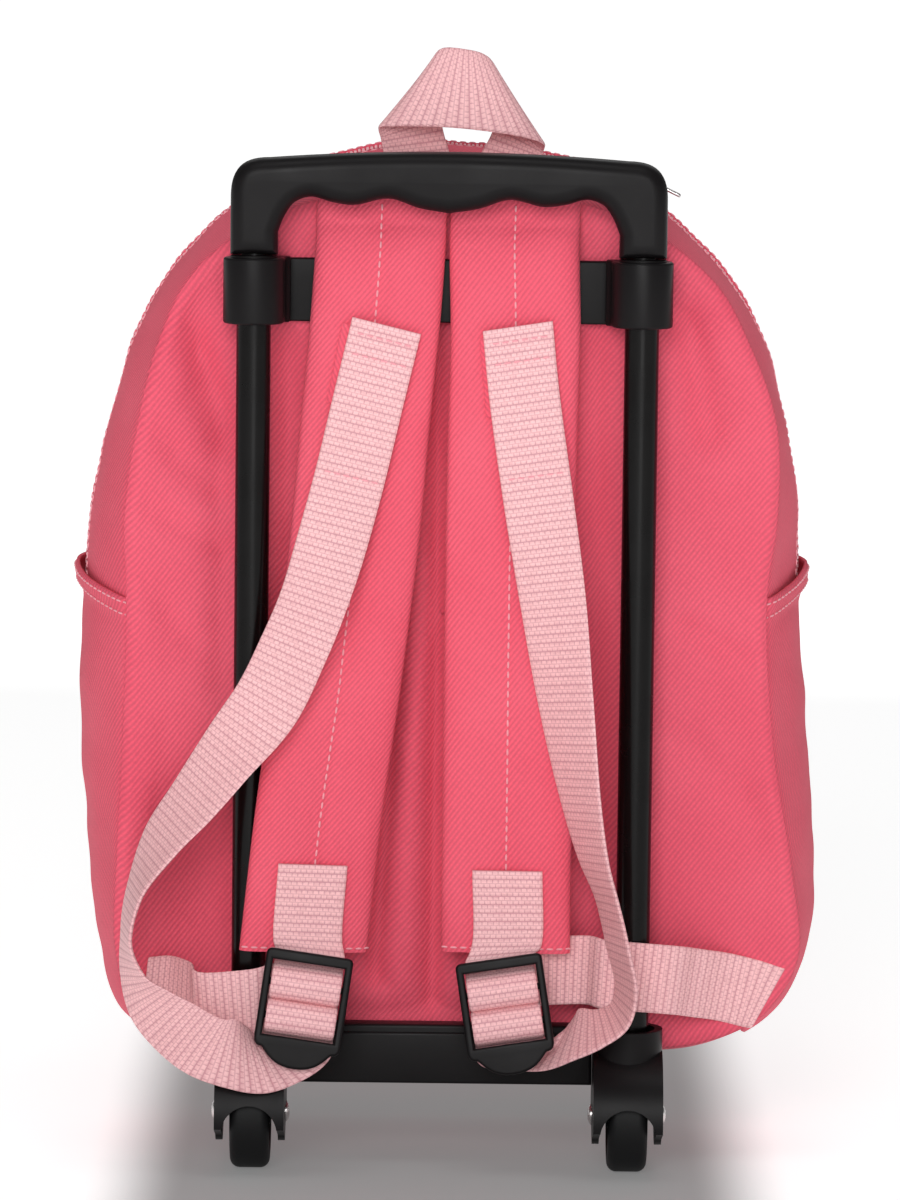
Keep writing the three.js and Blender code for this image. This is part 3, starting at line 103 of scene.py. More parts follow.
def material(name):
    """An empty node material, its tree and its output node."""
    made = bpy.data.materials.new(name)
    made.use_nodes = True
    tree = made.node_tree
    tree.nodes.clear()
    return made, tree, add(tree, "OutputMaterial")


SOFT_BOXES = [
    # name, from, size, watts
    ("key", (-0.45, -3.0, 1.3), (1.2, 1.2), 38),
    ("fill", (0.3, -3.2, 0.7), (1.2, 1.4), 16),
    ("top", (0.0, -0.6, 2.2), (1.4, 0.8), 8),
    ("behind", (0.2, 1.6, 1.5), (2.0, 1.0), 6),
]
for name, spot, size, watts in SOFT_BOXES:
    box = bpy.data.lights.new(name, "AREA")
    box.shape = "RECTANGLE"
    box.size, box.size_y = size
    box.energy = watts
    lamp = bpy.data.objects.new(name, box)
    bpy.context.scene.collection.objects.link(lamp)
    lamp.location = spot
    lamp.rotation_euler = (Vector((0, 0, 0.2)) - Vector(spot)).to_track_quat("-Z", "Y").to_euler()
world = bpy.data.worlds.new("studio")
bpy.context.scene.world = world
world.use_nodes = True
world.node_tree.nodes["Background"].inputs["Color"].default_value = linear("#ffffff")
world.node_tree.nodes["Background"].inputs["Strength"].default_value = 0.19

FLOOR_REACH = 30  # metres, so far that the paper fills the picture behind the bag
mesh = bpy.data.meshes.new("floor")
corners = [(-FLOOR_REACH, -FLOOR_REACH, 0), (FLOOR_REACH, -FLOOR_REACH, 0)]
corners += [(FLOOR_REACH, FLOOR_REACH, 0), (-FLOOR_REACH, FLOOR_REACH, 0)]
mesh.from_pydata(corners, [], [(0, 1, 2, 3)])
floor = bpy.data.objects.new("floor", mesh)

# White paper, matte. Its colour is greyed into a painted shade on the patch under the bag, and the rest of
# it glows, a painted light, more and more until it is pure white.
paper, tree, out = material("white_paper")
where = add(tree, "SeparateXYZ", {"Vector": add(tree, "TexCoord").outputs["Object"]})
depth = add(tree, "Math", {0: where.outputs["Y"], 1: 0.1}, operation="SUBTRACT")
depth = add(tree, "Math", {0: depth.outputs[0]}, operation="ABSOLUTE")
behind = add(
    tree,
    "MapRange",
    {"Value": depth.outputs[0], "From Min": 0.24, "From Max": 0.45, "To Min": 0.16, "To Max": 0.6},
    interpolation_type="SMOOTHSTEP",
)
far = add(tree, "MapRange", {"Value": depth.outputs[0], "From Min": 0.4, "From Max": 1.4, "To Max": 0.9})
sideways = add(tree, "Math", {0: where.outputs["X"]}, operation="ABSOLUTE")
beside = add(
    tree,
    "MapRange",
    {"Value": sideways.outputs[0], "From Min": 0.088, "From Max": 0.125, "To Min": 0.16, "To Max": 0.6},
    interpolation_type="SMOOTHSTEP",
)
lit = add(tree, "Math", {0: behind.outputs[0], 1: beside.outputs[0]}, operation="MAXIMUM")
lit = add(tree, "Math", {0: lit.outputs[0], 1: far.outputs[0]}, operation="MAXIMUM")
# Painted shade: the paper's colour is greyest where its painted glow is weakest, under the bag.
shade = add(
    tree,
    "MapRange",
    {"Value": lit.outputs[0], "From Min": 0.16, "From Max": 0.6, "To Min": 0.24, "To Max": 0.8},
)
surface = add(
    tree,
    "BsdfPrincipled",
    {
        "Base Color": shade.outputs[0],
        "Roughness": 0.8,
        "Emission Color": linear("#ffffff"),
        "Emission Strength": lit.outputs[0],
    },
)
tree.links.new(surface.outputs[0], out.inputs["Surface"])
bpy.context.scene.collection.objects.link(floor)
floor.data.materials.append(paper)

# The back panel. One piece of polyester cloth, cut to the bag's arched outline and sewn to the gusset all
# round. Foam behind it is thin, so the cloth sinks in soft folds beside the straps and the trolley.
BAG_WIDTH = 266
BAG_HEIGHT = 329
BAG_BASE = 31
BACK_TUCK = 15
CLOTH = 1.6
HALF_WIDTH = BAG_WIDTH / 2
HEM_UP = 0.516
OUTLINE = [
    # up, left, right, tuck left, tuck right
    (0.004, 0.38, 0.38, 0.64, 0.64),
    (0.012, 0.69, 0.70, 0.62, 0.60),
    (0.050, 0.868, 0.892, 0.62, 0.55),
    (0.123, 0.93, 1.0, 0.64, 0.5),
    (0.231, 0.966, 1.013, 0.95, 0.78),
    (0.360, 0.987, 0.992, 1.25, 1.05),
    (HEM_UP, 0.985, 0.962, 1.3, 1.0),
    (0.610, 0.958, 0.957, 1.02, 0.75),
    (0.714, 0.902, 0.909, 0.84, 0.4),
    (0.800, 0.829, 0.845, 0.68, 0.5),
    (0.868, 0.73, 0.738, 0.5, 0.42),
    (0.936, 0.555, 0.56, 0.62, 0.62),
    (0.980, 0.345, 0.35, 0.86, 0.86),
]


def spline(knots, steps, closed=False):
    """A smooth line through the knots (rows of numbers), with steps points to each span."""
    knots = np.asarray(knots, float)
    if closed:
        knots = np.vstack([knots[-1], knots, knots[0], knots[1]])
    else:
        knots = np.vstack([2 * knots[0] - knots[1], knots, 2 * knots[-1] - knots[-2]])
    points = []
    for i in range(1, len(knots) - 2):
        p = knots[i - 1 : i + 3]
        gaps = [np.linalg.norm(p[k + 1] - p[k]) ** 0.5 for k in range(3)]
        gaps[1] = gaps[1] if gaps[1] > 1e-4 else 1.0
        gaps = [gap if gap > 1e-4 else gaps[1] for gap in gaps]
        t0, t1, t2, t3 = np.concatenate([[0], np.cumsum(gaps)])
        for t in np.linspace(t1, t2, steps, endpoint=False):
            a1 = (t1 - t) / (t1 - t0) * p[0] + (t - t0) / (t1 - t0) * p[1]
            a2 = (t2 - t) / (t2 - t1) * p[1] + (t - t1) / (t2 - t1) * p[2]
            a3 = (t3 - t) / (t3 - t2) * p[2] + (t - t2) / (t3 - t2) * p[3]
            b1 = (t2 - t) / (t2 - t0) * a1 + (t - t0) / (t2 - t0) * a2
            b2 = (t3 - t) / (t3 - t1) * a2 + (t - t1) / (t3 - t1) * a3
            points.append((t2 - t) / (t2 - t1) * b1 + (t - t1) / (t2 - t1) * b2)
    if not closed:
        points.append(knots[-2])
    return np.array(points)


def evenly(points, count, closed=False):
    """The same line with its points at even distances, and the distances along it."""
    line = np.vstack([points, points[:1]]) if closed else points
    steps = np.linalg.norm(np.diff(line[:, :2], axis=0), axis=1)
    along = np.concatenate([[0], np.cumsum(steps)])
    wanted = np.linspace(0, along[-1], count + 1)[: count if closed else count + 1]
    return np.column_stack([np.interp(wanted, along, line[:, k]) for k in range(line.shape[1])]), wanted


knots = [(0, 0, 0.64)]
knots += [(right, up, tuck) for up, _, right, _, tuck in OUTLINE]
knots += [(0, 1, 1)]
knots += [(-left, up, tuck) for up, left, _, tuck, _ in reversed(OUTLINE)]
knots = [(a * HALF_WIDTH, BAG_BASE + up * BAG_HEIGHT, t * BACK_TUCK) for a, up, t in knots]
ROUND_BAG = 420
outline, along_outline = evenly(spline(knots, 24, closed=True), ROUND_BAG, closed=True)
run = np.roll(outline[:, :2], -1, axis=0) - np.roll(outline[:, :2], 1, axis=0)
run /= np.linalg.norm(run, axis=1)[:, None]
outward = np.column_stack([run[:, 1], -run[:, 0]])

FOLDS = [
    # from x, z, to x, z, depth into the bag, width
    (-94, 310, -78, 258, 6.5, 9),
    (-112, 286, -92, 280, -1.6, 6),
    (-108, 262, -82, 240, 3.6, 7),
    (-104, 232, -78, 218, 2.2, 5),
    (-86, 300, -70, 268, -1.4, 5),
    (-78, 250, -78, 170, 2.6, 6),
    (-112, 210, -90, 186, 1.8, 5),
    (-90, 118, -80, 84, 7.0, 17),
    (-108, 200, -107, 120, -1.2, 6),
    (-56, 290, -54, 190, 2.6, 5),
    (84, 300, 92, 262, 4.0, 7),
    (52, 300, 55, 120, 2.4, 5),
    (84, 192, 108, 180, 2.2, 4.5),
    (90, 176, 106, 164, -1.4, 5),
    (86, 150, 112, 128, 1.4, 7),
    (80, 226, 104, 236, 1.2, 7),
    (-14, 215, -23, 66, 4.0, 4.5),
    (-3, 310, -3, 58, 4.5, 4.5),
    (-11, 150, -14, 66, -0.8, 4),
    (-50, 50, 50, 50, 3.0, 7),
    (-118, 60, -96, 46, 1.5, 6),
]


def fold_depth(x, z):
    """How far the cloth at x, z has sunk into the bag."""
    depth = np.zeros_like(x)
    for x0, z0, x1, z1, deep, wide in FOLDS:
        t = ((x - x0) * (x1 - x0) + (z - z0) * (z1 - z0)) / ((x1 - x0) ** 2 + (z1 - z0) ** 2)
        t = np.clip(t, 0, 1)
        away = np.hypot(x - x0 - t * (x1 - x0), z - z0 - t * (z1 - z0)) / wide
        depth += deep * np.exp(-(away**2))
    return depth


def ripple(points, scale, seed):
    """Slow unevenness of hand-sewn cloth, from -1 to 1, at each point in millimetres."""
    shift = Vector((seed, seed * 1.7, seed * 0.3))
    return np.array([noise.noise(Vector(p) / scale + shift) for p in points.reshape(-1, 3)]).reshape(
        points.shape[:-1]
    )


def cloth_piece(name, grid, flat, closed=False, flip=False, thickness=CLOTH, subdivide=0):
    """A cloth object from a grid of points in millimetres, with its flat cloth coordinates as UVs."""
    rows, columns = grid.shape[:2]
    verts = [place(*p) for p in grid.reshape(-1, 3)]
    faces, corners = [], []
    for i in range(rows if closed else rows - 1):
        for j in range(columns - 1):
            quad = [(i, j), (i + 1, j), (i + 1, j + 1), (i, j + 1)]
            quad = quad[::-1] if flip else quad
            faces.append([(a % rows) * columns + b for a, b in quad])
            corners.append([flat(a, b) for a, b in quad])
    mesh = bpy.data.meshes.new(name)
    mesh.from_pydata(verts, [], faces)
    uv = mesh.uv_layers.new(name="UVMap")
    uv.data.foreach_set("uv", np.array(corners, float).ravel() * MM)
    mesh.polygons.foreach_set("use_smooth", [True] * len(faces))
    made = bpy.data.objects.new(name, mesh)
    bpy.context.scene.collection.objects.link(made)
    if thickness:
        wall = made.modifiers.new("cloth", "SOLIDIFY")
        wall.thickness = thickness * MM
        wall.offset = -1
        wall.use_quality_normals = True
    if subdivide:
        made.modifiers.new("soft", "SUBSURF").levels = subdivide
    return made


# Polyester pack cloth, woven as a fine twill and dyed coral pink. Its filament yarns draw a diagonal line
# each millimetre, drawn here half as coarse again so that it shows, and give a faint sheen at the sides.
TWILL_SPACING = 1.5
WAVE_LENGTH = 0.314  # millimetres from crest to crest of a wave texture of scale 1


def pack_cloth(name, lit, deep, lean=38):
    made, tree, out = material(name)
    cloth = add(tree, "UVMap", uv_map="UVMap").outputs[0]
    twill = add(
        tree, "Mapping", {"Vector": cloth, "Rotation": (0, 0, math.radians(lean)), "Scale": (1000, 1000, 1)}
    ).outputs[0]
    yarn = add(
        tree,
        "TexWave",
        {
            "Vector": twill,
            "Scale": WAVE_LENGTH / TWILL_SPACING,
            "Distortion": 0.5,
            "Detail": 2.0,
            "Detail Scale": 2.0,
        },
        bands_direction="X",
    ).outputs["Fac"]
    picks = add(
        tree,
        "TexWave",
        {"Vector": twill, "Scale": WAVE_LENGTH / TWILL_SPACING, "Distortion": 0.8, "Detail": 2.0},
        bands_direction="Y",
    ).outputs["Fac"]
    slub = add(
        tree, "TexNoise", {"Vector": twill, "Scale": 0.7, "Detail": 3.0, "Roughness": 0.7}
    ).outputs["Fac"]
    dye = add(tree, "TexNoise", {"Vector": cloth, "Scale": 16.0, "Detail": 4.0}).outputs["Fac"]
    worn = add(tree, "ValToRGB", {"Fac": dye})
    worn.color_ramp.elements[0].position = 0.35
    worn.color_ramp.elements[0].color = linear(deep)
    worn.color_ramp.elements[1].position = 0.65
    worn.color_ramp.elements[1].color = linear(lit)
    thin = add(tree, "MapRange", {"Value": picks, "To Min": 0.75}).outputs[0]
    weave = add(tree, "Math", {0: yarn, 1: thin}, operation="MULTIPLY").outputs[0]
    grain = add(tree, "Math", {0: weave, 1: slub}, operation="ADD").outputs[0]
    tint = add(
        tree, "MapRange", {"Value": grain, "From Min": 0.3, "From Max": 1.6, "To Min": 0.8, "To Max": 1.16}
    ).outputs[0]
    colour = add(tree, "VectorMath", {0: worn.outputs[0], 1: tint}, operation="MULTIPLY")
    bump = add(tree, "Bump", {"Height": grain, "Strength": 0.5, "Distance": 0.0003}).outputs[0]
    surface = add(
        tree,
        "BsdfPrincipled",
        {
            "Base Color": colour.outputs[0],
            "Roughness": 0.75,
            "IOR": 1.5,
            "Specular IOR Level": 0.35,
            "Sheen Weight": 0.04,
            "Sheen Roughness": 0.5,
            "Sheen Tint": linear("#ffd9de"),
            "Normal": bump,
        },
    )
    tree.links.new(surface.outputs[0], out.inputs["Surface"])
    return made


bag_cloth = pack_cloth("coral_polyester_twill", "#e95c72", "#e25269")


def dress(made, cloth, body, slot, *nodes):
    """Gives a finished piece its material and body, in place of the plain solids it stands for. Its slot is
    not used.
    """
    made.data.materials.clear()
    made.data.materials.append(cloth)
    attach(made, body)
    if nodes:
        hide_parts(*nodes)
    return made


def panel(name, inset, height, rings):
    """A panel inside the outline: rings of points from the seam to the middle."""
    seam = outline[:, :2] - outward * np.asarray(inset)[:, None]
    middle = np.array([0, BAG_BASE + BAG_HEIGHT / 2])
    shares = 1 - np.linspace(0, 1, rings) ** 1.25
    flat = middle + shares[None, :, None] * (seam[:, None, :] - middle)
    far = np.linalg.norm(seam - middle, axis=1)[:, None] * (1 - shares[None, :])
    y = height(flat[..., 0], flat[..., 1], far, np.broadcast_to(shares, far.shape))
    grid = np.stack([flat[..., 0], y, flat[..., 1]], axis=-1)
    return grid, (lambda i, j: tuple(flat[i % len(seam), j]))


SEAM_ROLL = 2.2  # how far the cloth turns in at the seam


def back_height(x, z, far, shares):
    """How deep the back panel lies at x, z."""
    points = np.stack([x, np.zeros_like(x), z], axis=-1)
    loose = np.clip(far / 14, 0, 1)
    sunk = fold_depth(x, z) + 1.3 * ripple(points, 36, 3.1) + 0.5 * ripple(points, 15, 7.7)
    sunk = np.maximum(sunk + 0.6, -1.5)
    under_bar = np.exp(-((np.abs(x) / 76) ** 12)) * np.exp(-(((z - 310) / 17) ** 8))
    sunk = np.maximum(sunk, under_bar * 0.4)
    return sunk * loose + SEAM_ROLL * np.exp(-((far / 1.6) ** 2))


grid, flat = panel("back_panel_cloth", outline[:, 2], back_height, 64)
back_panel = cloth_piece("back_panel_cloth", grid, flat, closed=True, flip=True)
dress(back_panel, bag_cloth, "bag", "bag_cloth", "back_panel")

# The front panel. It is cut from the same polyester cloth as the back, and sewn to the front of the
# gusset all round. What is in the bag fills it out.
BAG_DEPTH = 100
FRONT_TUCK = 9
FRONT_CROWN = 11


def front_height(x, z, far, shares):
    points = np.stack([x, np.zeros_like(x), z], axis=-1)
    crown = FRONT_CROWN * (1 - shares**2.6)
    soft = 0.9 * ripple(points, 45, 11.3) + 0.3 * ripple(points, 15, 5.5)
    return BAG_DEPTH + crown - 1.0 + soft * np.clip(far / 20, 0, 1) - SEAM_ROLL * np.exp(-((far / 1.6) ** 2))


grid, flat = panel("front_panel_cloth", np.full(ROUND_BAG, FRONT_TUCK), front_height, 48)
front_panel = cloth_piece("front_panel_cloth", grid, flat, closed=True)
dress(front_panel, bag_cloth, "bag", "bag_cloth", "front_panel")

# The gusset. A band of the same cloth round the sides, base and top. Above the pockets it is two strips
# with the zip between them, and the bag's load pulls it into shallow folds that run from seam to seam.
BULGE_AT = 0.56
SEAM_GAP = 0.3
POCKET_CLOTH = 1.2
POCKET_SLACK = 1.8
ZIP_SLOT = 15
half_way = ROUND_BAG // 2


def smooth(t):
    t = np.clip(t, 0, 1)
    return t * t * (3 - 2 * t)


def gusset_grid(numbers, shares, rise):
    """Points of the gusset at those outline numbers and shares of the depth, with rise outwards."""
    numbers = np.asarray(numbers, float)
    if numbers.ndim == 1:
        numbers = np.repeat(numbers[:, None], len(shares), axis=1)
    low = np.floor(numbers).astype(int)
    part = (numbers - low)[..., None]
    both = np.column_stack([outline, outward])
    row = both[low % ROUND_BAG] * (1 - part) + both[(low + 1) % ROUND_BAG] * part
    x, z, tuck, out_x, out_z = np.moveaxis(row, -1, 0)
    across = np.broadcast_to(shares, x.shape)
    back = np.clip(1 - across / BULGE_AT, 0, None)
    front = np.clip((across - BULGE_AT) / (1 - BULGE_AT), 0, None)
    up = (z - BAG_BASE) / BAG_HEIGHT
    side = smooth((np.abs(x) / HALF_WIDTH - 0.8) / 0.1)
    under = side * smooth((HEM_UP + 0.012 - up) / 0.03) * smooth((up - 0.04) / 0.08)
    slack = POCKET_SLACK * np.sin(math.pi * across) * smooth((z - BAG_BASE) / (HEM_UP * BAG_HEIGHT) - 0.2)
    y = 1.6 + (BAG_DEPTH - 3.2) * across
    raw = np.stack([x, y, z], axis=-1)
    seam = np.minimum(across, 1 - across) * BAG_DEPTH
    free = np.clip(seam / 14, 0, 1) * smooth((z - BAG_BASE) / 25)
    folds = 0.8 * ripple(raw * np.array([1, 0.35, 1]), 15, 2.2) + 0.9 * ripple(raw, 38, 9.1)
    roll = 1.6 * np.exp(-((seam / 1.6) ** 2))
    out = rise(under, slack) - tuck * back**2 - FRONT_TUCK * front**2 + free * (folds - 0.5) - roll
    return np.stack([x + out_x * out, y, z + out_z * out], axis=-1)


def gusset_flat(numbers, shares):
    numbers = np.asarray(numbers, float)
    if numbers.ndim == 1:
        numbers = np.repeat(numbers[:, None], len(shares), axis=1)
    step = along_outline[1]
    return lambda i, j: (shares[j] * BAG_DEPTH, numbers[i, j] * step)


def number_at(side, up):
    """The outline number at a height on that side, counted as a share of the bag's height."""
    z = BAG_BASE + up * BAG_HEIGHT
    rows = range(1, half_way) if side > 0 else range(ROUND_BAG - 1, half_way, -1)
    return next(i for i in rows if outline[i, 1] >= z and abs(outline[i, 0]) > 20)


def under_cloth(under, slack):
    return -under * (POCKET_CLOTH + SEAM_GAP + slack)


JOINT_UP = 0.44  # where the zip's strips are sewn to the lower gusset, behind the pockets
right_joint = number_at(1, JOINT_UP)
left_joint = number_at(-1, JOINT_UP)
low_numbers = np.arange(left_joint, ROUND_BAG + right_joint + 1)
low_shares = np.linspace(0, 1, 41)
grid = gusset_grid(low_numbers, low_shares, under_cloth)
lower_gusset = cloth_piece("lower_gusset_cloth", grid, gusset_flat(low_numbers, low_shares), flip=True)
dress(lower_gusset, bag_cloth, "bag", "bag_cloth", "lower_gusset")
high_numbers = np.arange(right_joint, left_joint + 1)
slot = [0.5 - ZIP_SLOT / 2 / BAG_DEPTH, 0.5 + ZIP_SLOT / 2 / BAG_DEPTH]
for name, shares in (
    ("top_gusset_back", np.linspace(0, slot[0], 20)),
    ("top_gusset_front", np.linspace(slot[1], 1, 20)),
):
    grid = gusset_grid(high_numbers, shares, under_cloth)
    strip = cloth_piece(name + "_cloth", grid, gusset_flat(high_numbers, shares), flip=True)
    dress(strip, bag_cloth, "bag", "bag_cloth", name)

# The zip. A coloured coil zip runs over the bag's top from pocket to pocket. Its tape is sewn behind the
# folded edges of the two strips, and its moulded teeth stand in the slot between them.
ZIP_TAPE_WIDTH = 25
ZIP_TAPE = 0.9
TOOTH_STEP = 1.5
TOOTH_SIZE = np.array([1.0, 3.4, 1.5])  # along the zip, across it and out


def under_strips(under, slack):
    return under_cloth(under, slack) - CLOTH - SEAM_GAP


half_tape = ZIP_TAPE_WIDTH / 2 / BAG_DEPTH
tape_shares = np.linspace(0.5 - half_tape, 0.5 + half_tape, 13)
grid = gusset_grid(high_numbers, tape_shares, under_strips)
zip_tape = cloth_piece(
    "zip_tape", grid, gusset_flat(high_numbers, tape_shares), flip=True, thickness=ZIP_TAPE
)
woven_tape = pack_cloth("pink_polyester_tape", "#ec8797", "#e27688")
dress(zip_tape, woven_tape, "bag", "zip_tape", "zip")


def moulded_material(name, colour, roughness, grain_mm, depth_mm, gloss=0.5):
    """A moulded plastic with the fine grain that the mould's eroded wall leaves on it."""
    made, tree, out = material(name)
    where = add(tree, "TexCoord").outputs["Object"]
    grain = add(
        tree, "TexNoise", {"Vector": where, "Scale": 1 / (grain_mm * MM), "Detail": 2.0}
    ).outputs["Fac"]
    hands = add(tree, "TexNoise", {"Vector": where, "Scale": 45.0, "Detail": 4.0}).outputs["Fac"]
    shine = add(
        tree,
        "MapRange",
        {
            "Value": hands,
            "From Min": 0.3,
            "From Max": 0.7,
            "To Min": roughness - 0.06,
            "To Max": roughness + 0.08,
        },
    ).outputs[0]
    bump = add(tree, "Bump", {"Height": grain, "Strength": 0.5, "Distance": depth_mm * MM}).outputs[0]
    surface = add(
        tree,
        "BsdfPrincipled",
        {
            "Base Color": linear(colour),
            "Roughness": shine,
            "IOR": 1.49,
            "Specular IOR Level": gloss,
            "Normal": bump,
        },
    )
    tree.links.new(surface.outputs[0], out.inputs["Surface"])
    return made


def mesh_piece(name, verts, faces, sharp=35):
    """An object from points in millimetres and faces, smooth but for its sharp edges."""
    mesh = bpy.data.meshes.new(name)
    mesh.from_pydata([place(*v) for v in verts], [], faces)
    form = bmesh.new()
    form.from_mesh(mesh)
    bmesh.ops.remove_doubles(form, verts=form.verts, dist=0.002 * MM)
    bmesh.ops.recalc_face_normals(form, faces=form.faces)
    form.to_mesh(mesh)
    form.free()
    mesh.polygons.foreach_set("use_smooth", [True] * len(mesh.polygons))
    mesh.set_sharp_from_angle(angle=math.radians(sharp))
    made = bpy.data.objects.new(name, mesh)
    bpy.context.scene.collection.objects.link(made)
    return made


def repeated(name, shape, faces, spots, frames, sharp=35):
    """Many copies of a small form in one mesh, each at its spot and turned by its own three axes."""
    verts = np.einsum("vk,nkc->nvc", shape, frames) + spots[:, None, :]
    count = len(shape)
    every = [[v + n * count for v in face] for n in range(len(spots)) for face in faces]
    return mesh_piece(name, verts.reshape(-1, 3), every, sharp)


def frames_along(points, outs):
    """Three axes at each point of a line: along it, across it and outwards."""
    along = np.gradient(points, axis=0)
    along /= np.linalg.norm(along, axis=1)[:, None]
    outs = outs - (outs * along).sum(axis=1)[:, None] * along
    outs /= np.linalg.norm(outs, axis=1)[:, None]
    return np.stack([along, np.cross(along, outs), outs], axis=1)


def at_steps(points, outs, step):
    """The line again, with a point at each step of that length, and its outward directions."""
    run = np.concatenate([[0], np.cumsum(np.linalg.norm(np.diff(points, axis=0), axis=1))])
    wanted = np.arange(step / 2, run[-1], step)
    both = [np.column_stack([np.interp(wanted, run, a[:, k]) for k in range(3)]) for a in (points, outs)]
    return both[0], both[1]


TOOTH = np.array(
    [(a, b, c) for a in (-0.5, 0.5) for b in (-0.5, 0.5) for c in (-0.5, 0.5)]
    + [(a * 0.6, b * 0.8, 0.72) for a in (-0.5, 0.5) for b in (-0.5, 0.5)]
)
TOOTH_FACES = [
    (0, 1, 3, 2), (4, 6, 7, 5), (0, 4, 5, 1), (2, 3, 7, 6), (0, 2, 6, 4),
    (1, 5, 10, 8), (5, 7, 11, 10), (7, 3, 9, 11), (3, 1, 8, 9), (8, 10, 11, 9),
]
middle_line = gusset_grid(high_numbers, np.array([0.5]), under_strips)[:, 0, :]
outs = np.column_stack(
    [outward[high_numbers % ROUND_BAG, 0], 0 * high_numbers, outward[high_numbers % ROUND_BAG, 1]]
)
spots, ways = at_steps(middle_line, outs, TOOTH_STEP)
frames = frames_along(spots, ways)
side = np.where(np.arange(len(spots)) % 2, 0.9, -0.9)[:, None]
teeth = repeated(
    "zip_teeth", TOOTH * TOOTH_SIZE, TOOTH_FACES, spots + frames[:, 1] * side + frames[:, 2] * 0.7, frames
)
coil = moulded_material("pink_acetal_teeth", "#f3b9c0", 0.35, 0.4, 0.02)
dress(teeth, coil, "bag", "zip_tape")


# Bonded polyester thread, a tone paler than the cloth. Each stitch is a short raised dash.
def thread_material(name, colour):
    made, tree, out = material(name)
    where = add(tree, "TexCoord").outputs["Object"]
    twist = add(
        tree, "TexWave", {"Vector": where, "Scale": 900.0, "Distortion": 1.0}, bands_direction="DIAGONAL"
    )
    bump = add(
        tree, "Bump", {"Height": twist.outputs["Fac"], "Strength": 0.4, "Distance": 0.0001}
    ).outputs[0]
    surface = add(
        tree,
        "BsdfPrincipled",
        {"Base Color": linear(colour), "Roughness": 0.55, "Sheen Weight": 0.2, "Normal": bump},
    )
    tree.links.new(surface.outputs[0], out.inputs["Surface"])
    return made


thread = thread_material("pale_pink_thread", "#f2a3ae")
STITCH = 2.5
STITCH_GAP = 0.9
THREAD = 0.75
lengths = (-0.5, -0.34, 0.0, 0.34, 0.5)
widths = (0.1, 0.85, 1.0, 0.85, 0.1)
STITCH_FORM = np.array(
    [
        (s * STITCH, w * THREAD / 2 * math.cos(a), w * THREAD / 2 * math.sin(a))
        for s, w in zip(lengths, widths)
        for a in np.linspace(0, 2 * math.pi, 6, endpoint=False)
    ]
)
STITCH_FACES = [
    (i * 6 + j, i * 6 + (j + 1) % 6, i * 6 + 6 + (j + 1) % 6, i * 6 + 6 + j)
    for i in range(4)
    for j in range(6)
] + [tuple(range(5, -1, -1)), tuple(range(24, 30))]


def stitching(name, lines, slot="bag_cloth", look=None):
    """Rows of stitches in one piece. Each line is its points and their outward directions."""
    spots, frames = [], []
    for points, outs in lines:
        at, ways = at_steps(np.asarray(points, float), np.asarray(outs, float), STITCH + STITCH_GAP)
        turned_by = frames_along(at, ways)
        spots.append(at + turned_by[:, 2] * THREAD * 0.1)
        frames.append(turned_by)
    made = repeated(name, STITCH_FORM, STITCH_FACES, np.concatenate(spots), np.concatenate(frames), 60)
    return dress(made, look or thread, "bag", slot)


def along_gusset(numbers, share, rise):
    """A line on the gusset's cloth, with its outward directions."""
    line = gusset_grid(numbers, np.array([share]), rise)[:, 0, :]
    rows = outward[np.round(numbers).astype(int) % ROUND_BAG]
    return line, np.column_stack([rows[:, 0], 0 * rows[:, 0], rows[:, 1]])


stitching(
    "zip_stitching",
    [along_gusset(high_numbers, share, under_cloth) for share in (slot[0] - 0.025, slot[1] + 0.025)],
)

# The side pockets. A flat piece of bag cloth is sewn over each side of the gusset, with its mouth turned
# in twice and held by two rows of stitches.
POCKET_FROM_UP = 0.03
HEM_CLIMB = 7  # how far the mouth climbs from the back seam to its middle
HEM_DEPTH = 7.5
step_length = along_outline[1]
pocket_shares = np.linspace(0.0, 1.0, 41)


def over_gusset(under, slack):
    return (1 - under) * (POCKET_CLOTH + SEAM_GAP + slack)


for name, side in (("right", 1), ("left", -1)):
    bottom = number_at(side, POCKET_FROM_UP)
    mouth = number_at(side, HEM_UP) + side * HEM_CLIMB / step_length * np.minimum(1, pocket_shares / 0.5)
    if side < 0:
        bottom, mouth = bottom + ROUND_BAG * 0, mouth
    rows = 90
    t = np.linspace(0, 1, rows)[:, None]
    numbers = bottom + (mouth[None, :] - bottom) * t
    below_mouth = np.abs(mouth[None, :] - numbers) * step_length
    grid = gusset_grid(numbers, pocket_shares, over_gusset)
    outward_here = grid - gusset_grid(numbers, pocket_shares, lambda u, s: over_gusset(u, s) - 1)
    hem = 0.55 * (1 - smooth((below_mouth - HEM_DEPTH) / 0.8)) - 0.5 * np.exp(-((below_mouth / 0.7) ** 2))
    grid = grid + outward_here * hem[..., None]
    pocket = cloth_piece(
        f"side_pocket_{name}_cloth",
        grid,
        gusset_flat(numbers, pocket_shares),
        flip=side > 0,
        thickness=POCKET_CLOTH,
    )
    dress(pocket, bag_cloth, "bag", "bag_cloth", f"side_pocket_{name}")
    lines = []
    for down in (1.8, HEM_DEPTH - 1.0):
        rows_at = (mouth - side * down / step_length)[None, :]
        line = gusset_grid(rows_at, pocket_shares, over_gusset)[0]
        outs = line - gusset_grid(rows_at, pocket_shares, lambda u, s: over_gusset(u, s) - 1)[0]
        lines.append((line + outs * 0.6, outs))
    stitching(f"pocket_hem_{name}", lines)

